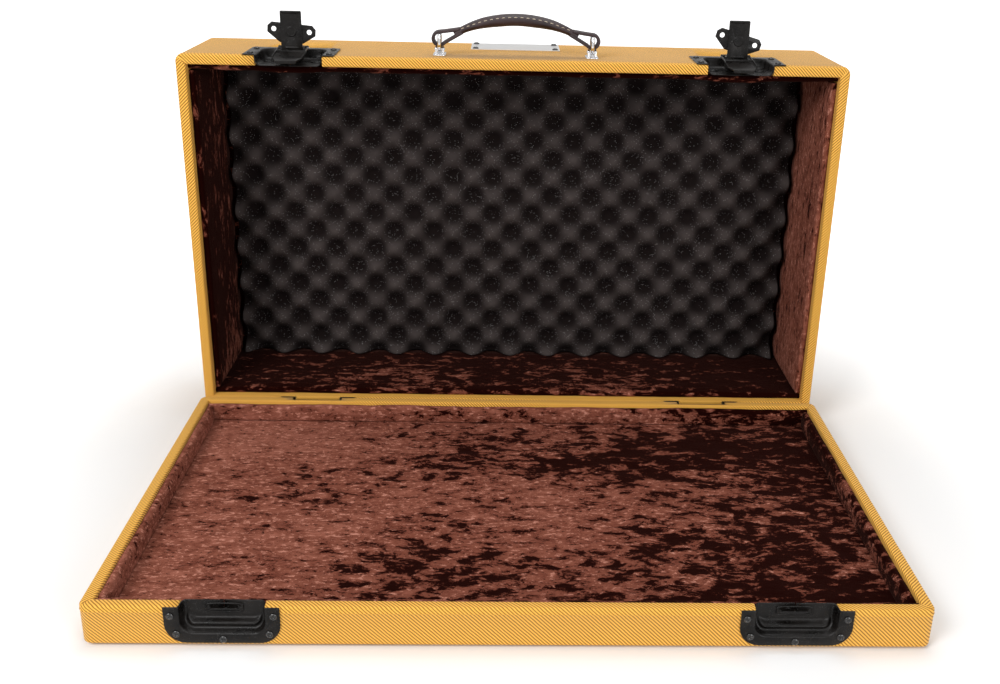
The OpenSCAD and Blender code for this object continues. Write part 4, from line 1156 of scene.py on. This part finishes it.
def loop_band(sign):
    """A leather band carried along the loop path: a rounded rectangle, 4 thick and 14 wide,
    square to the path."""
    path = loop_path()
    run = np.gradient(path, axis=0)
    run /= np.linalg.norm(run, axis=1)[:, None]
    q = full_turn(24)
    thick = 2.0 * squared_off(np.cos(q), 0.5)
    wide = 7.0 * squared_off(np.sin(q), 0.3)
    return xyz(sign * (path[:, :1] - run[:, 1:] * thick), GRIP_UP + wide,
               path[:, 1:] + run[:, :1] * thick)


for sign, side in BOTH_SIDES:
    band = make_tubes("grip_loop_" + side, [loop_band(sign)], on_lid_face, "handle",
                      LEATHER)
    print(band.name, len(band.data.polygons), "faces")

# %% Stitches
STITCH, GAP, SEAM_R = 4.2, 3.2, BOW_R + 5


def stitches(name, side):
    """Capsules along one edge of the bow's top, each a six-sided tube of five rings that sinks
    at both ends; on the section, height is half (1 - share^power)^(1/power)."""
    t = np.array([-1, -0.8, 0, 0.8, 1.0])[:, None]
    size = np.array([0.08, 0.34, 0.48, 0.34, 0.08])[:, None]
    ring = full_turn(6)
    capsules = []
    for middle in np.arange(-math.radians(25.0), math.radians(25.0), (STITCH + GAP) / SEAM_R):
        angle = middle + t * STITCH / 2 / SEAM_R
        edge = grip_width(angle) - STITCH_INSET
        share = edge / grip_width(angle)
        surface = grip_thickness(angle) * (1 - share ** SECTION) ** (1 / SECTION)
        height = surface - 0.12 - 0.5 * t ** 4
        capsules.append(bow_point(angle, side * (edge + size * np.cos(ring)),
                                  height + size * np.sin(ring)))
    make_tubes(name, capsules, on_lid_face, "handle", THREAD)
    return len(capsules)


print("stitches:", stitches("stitches_front_top", -1), stitches("stitches_back_top", 1))

# %% [markdown]
# ## Pressed details on the levers
# Each lever has a round dished ring pressed into it, two short ribs below and a
# rolled upper end. The ring is a low profile turned about its middle and the
# others are rounded bars, set into the lever's face, and they ride on the lever.

# %% Lever pressings
LEVER_FACE_Y, LEVER_RING_Z = 188.05, 503.5


def on_lever_face(p, side):
    """From across, up and out of the standing lever's front face."""
    return xyz(side * LATCH_X + p[..., 0], LEVER_FACE_Y - p[..., 2], LEVER_RING_Z + p[..., 1])


def turned_ring(radii, heights):
    """A profile of radii and heights turned about the face's normal."""
    a, r, h = full_turn(48), np.array(radii)[:, None], np.array(heights)[:, None]
    return xyz(r * np.cos(a), r * np.sin(a), h)


def pill(half, radius, up):
    """A rounded bar lying across the face: an ellipse in section, tapering to its ends."""
    t, a = np.linspace(-1, 1, 20)[:, None], full_turn(16)
    size = np.sqrt(np.clip(1 - np.abs(t) ** 6, 0.01, 1))
    return xyz(t * half, up + radius * size * np.cos(a), 0.75 * size * np.sin(a))


ribs = [pill(8.5, 1.6, -19.0), pill(8.5, 1.2, -24.0)]
rolled_end = pill(10.3, 1.3, 21.9)
dished = turned_ring([6.6, 6.2, 5.5, 4.7, 4.1, 3.8], [-0.4, 0.35, 0.8, 0.8, 0.35, -0.4])
for sign, side in BOTH_SIDES:
    pressed = make_tubes("lever_pressing_" + side, [*ribs, rolled_end],
                         lambda p: on_lever_face(p, sign), side + "_lever",
                         BLACK, rings=[dished])
print("lever pressings:", len(pressed.data.polygons), "faces each")

# %% [markdown]
# ## Stage, camera and light
# A pale sheet runs under the case and curves up behind it, as in a product
# photograph. The camera stands in front of the case, two thirds of a metre up
# and almost before its middle, and looks down by 21 degrees, with a little
# roll. Three large soft lamps and a pale sky light the case at a plain level.

# %% Sheet


def stage_finish():
    """A pale sheet, white far off where the camera looks at it, softly grey in shadow."""
    material, tree, shader = new_finish("pale_sheet", Roughness=0.9, Specular_IOR_Level=0.1)
    point = object_point(tree)
    cloud = use_group(tree, MOTTLE, Vector=point, Scale=1.2, Warp=0.2, Low=0.2, High=0.8)
    feed(tree, shader, Base_Color=mix(tree, cloud, (0.90, 0.90, 0.90), (0.93, 0.93, 0.93)))
    far = put(tree, "ShaderNodeVectorMath", {0: point}, operation="LENGTH").outputs["Value"]
    mask = between(tree, far, 0.45, 0.95, "SMOOTHSTEP")
    shader.inputs["Emission Color"].default_value = (1, 1, 1, 1)
    seen = maths(tree, "MULTIPLY", put(tree, "ShaderNodeLightPath").outputs["Is Camera Ray"], 0.75)
    tree.links.new(maths(tree, "MULTIPLY", seen, mask), shader.inputs["Emission Strength"])
    return material


def sheet_grid(x, s):
    """The sheet's height and depth: flat to 2.6 m behind, then a quarter round of 1.4 m up into
    a wall."""
    flat, bend = 2600.0, 1400.0
    turn = np.clip((s - flat) / bend, 0, np.pi / 2)
    y = np.minimum(s, flat) + bend * np.sin(turn)
    z = bend * (1 - np.cos(turn)) + np.maximum(s - flat - bend * np.pi / 2, 0)
    return xyz(x, y, z - 0.05)


grid = sheet_grid(np.linspace(-6000, 6000, 13)[:, None], np.linspace(-3500, 7500, 90)[None, :])
mesh = bpy.data.meshes.new("pale_sheet")
mesh.from_pydata((grid.reshape(-1, 3) * MM).tolist(), [], grid_faces(13, 90))
mesh.polygons.foreach_set("use_smooth", [True] * len(mesh.polygons))
mesh.materials.append(stage_finish())
sheet = in_scene("pale_sheet", mesh)
print("sheet:", len(mesh.polygons), "faces")

# %% Sky
DIM_SKY, BRIGHT_SKY = 0.42, 1.0            # as it lights the case, and as it is seen
world = bpy.data.worlds.new("soft_room")
bpy.context.scene.world = world
world.use_nodes = True
sky = world.node_tree
background = sky.nodes["Background"]
background.inputs["Color"].default_value = (1, 1, 1, 1)
ray = put(sky, "ShaderNodeLightPath").outputs
seen = maths(sky, "MAXIMUM", ray["Is Glossy Ray"], ray["Is Transmission Ray"])
seen = maths(sky, "MAXIMUM", ray["Is Camera Ray"], seen)
sky.links.new(total(sky, DIM_SKY, (seen, BRIGHT_SKY - DIM_SKY)), background.inputs["Strength"])
print("sky:", DIM_SKY, "to", BRIGHT_SKY)

# %% Camera
CAMERA_AT = (-15.4, -1172.75, 669.0)
YAW, PITCH, ROLL = math.radians(1.91), math.radians(21.0), math.radians(1.48)
FOCAL, CENTRE_X, CENTRE_Y, PICTURE = 1110.0, 34.1, -26.9, 1000    # in pixels
SENSOR = 36.0
forward = Vector((math.sin(YAW), math.cos(YAW), 0)) * math.cos(PITCH)
forward.z = -math.sin(PITCH)
level_right = Vector((math.cos(YAW), -math.sin(YAW), 0))
level_up = level_right.cross(forward)
right = level_right * math.cos(ROLL) + level_up * math.sin(ROLL)
up = level_up * math.cos(ROLL) - level_right * math.sin(ROLL)
camera_data = bpy.data.cameras.new("camera")
camera_data.sensor_width = SENSOR
camera_data.lens = FOCAL * SENSOR / PICTURE
camera_data.shift_x, camera_data.shift_y = -CENTRE_X / PICTURE, CENTRE_Y / PICTURE
camera_data.clip_start, camera_data.clip_end = 0.05, 60.0
camera = in_scene("camera", camera_data)
placed = Matrix((right, up, -forward)).transposed().to_4x4()
placed.translation = Vector(CAMERA_AT) * MM
camera.matrix_world = placed
bpy.context.scene.camera = camera
print("camera lens", round(camera_data.lens, 2), "mm")

# %% Lamps


def lamp(name, at, aim, size, power):
    """A square soft lamp at a place, turned to face its aim."""
    data = bpy.data.lights.new(name, "AREA")
    data.shape, data.size, data.energy = "SQUARE", size, power
    thing = in_scene(name, data)
    thing.location = at
    thing.rotation_mode = "QUATERNION"
    thing.rotation_quaternion = (Vector(aim) - Vector(at)).to_track_quat("-Z", "Y")


lamp("key", (-1.5, -1.9, 2.1), (0, 0, 0.2), 1.1, 52)
lamp("fill", (1.7, -2.3, 1.2), (0, 0, 0.2), 1.4, 26)
lamp("top", (0.2, 0.5, 2.6), (0, 0.1, 0.2), 1.5, 20)
bpy.context.scene.view_settings.view_transform = "Standard"
print("lamps:", len(bpy.data.lights))
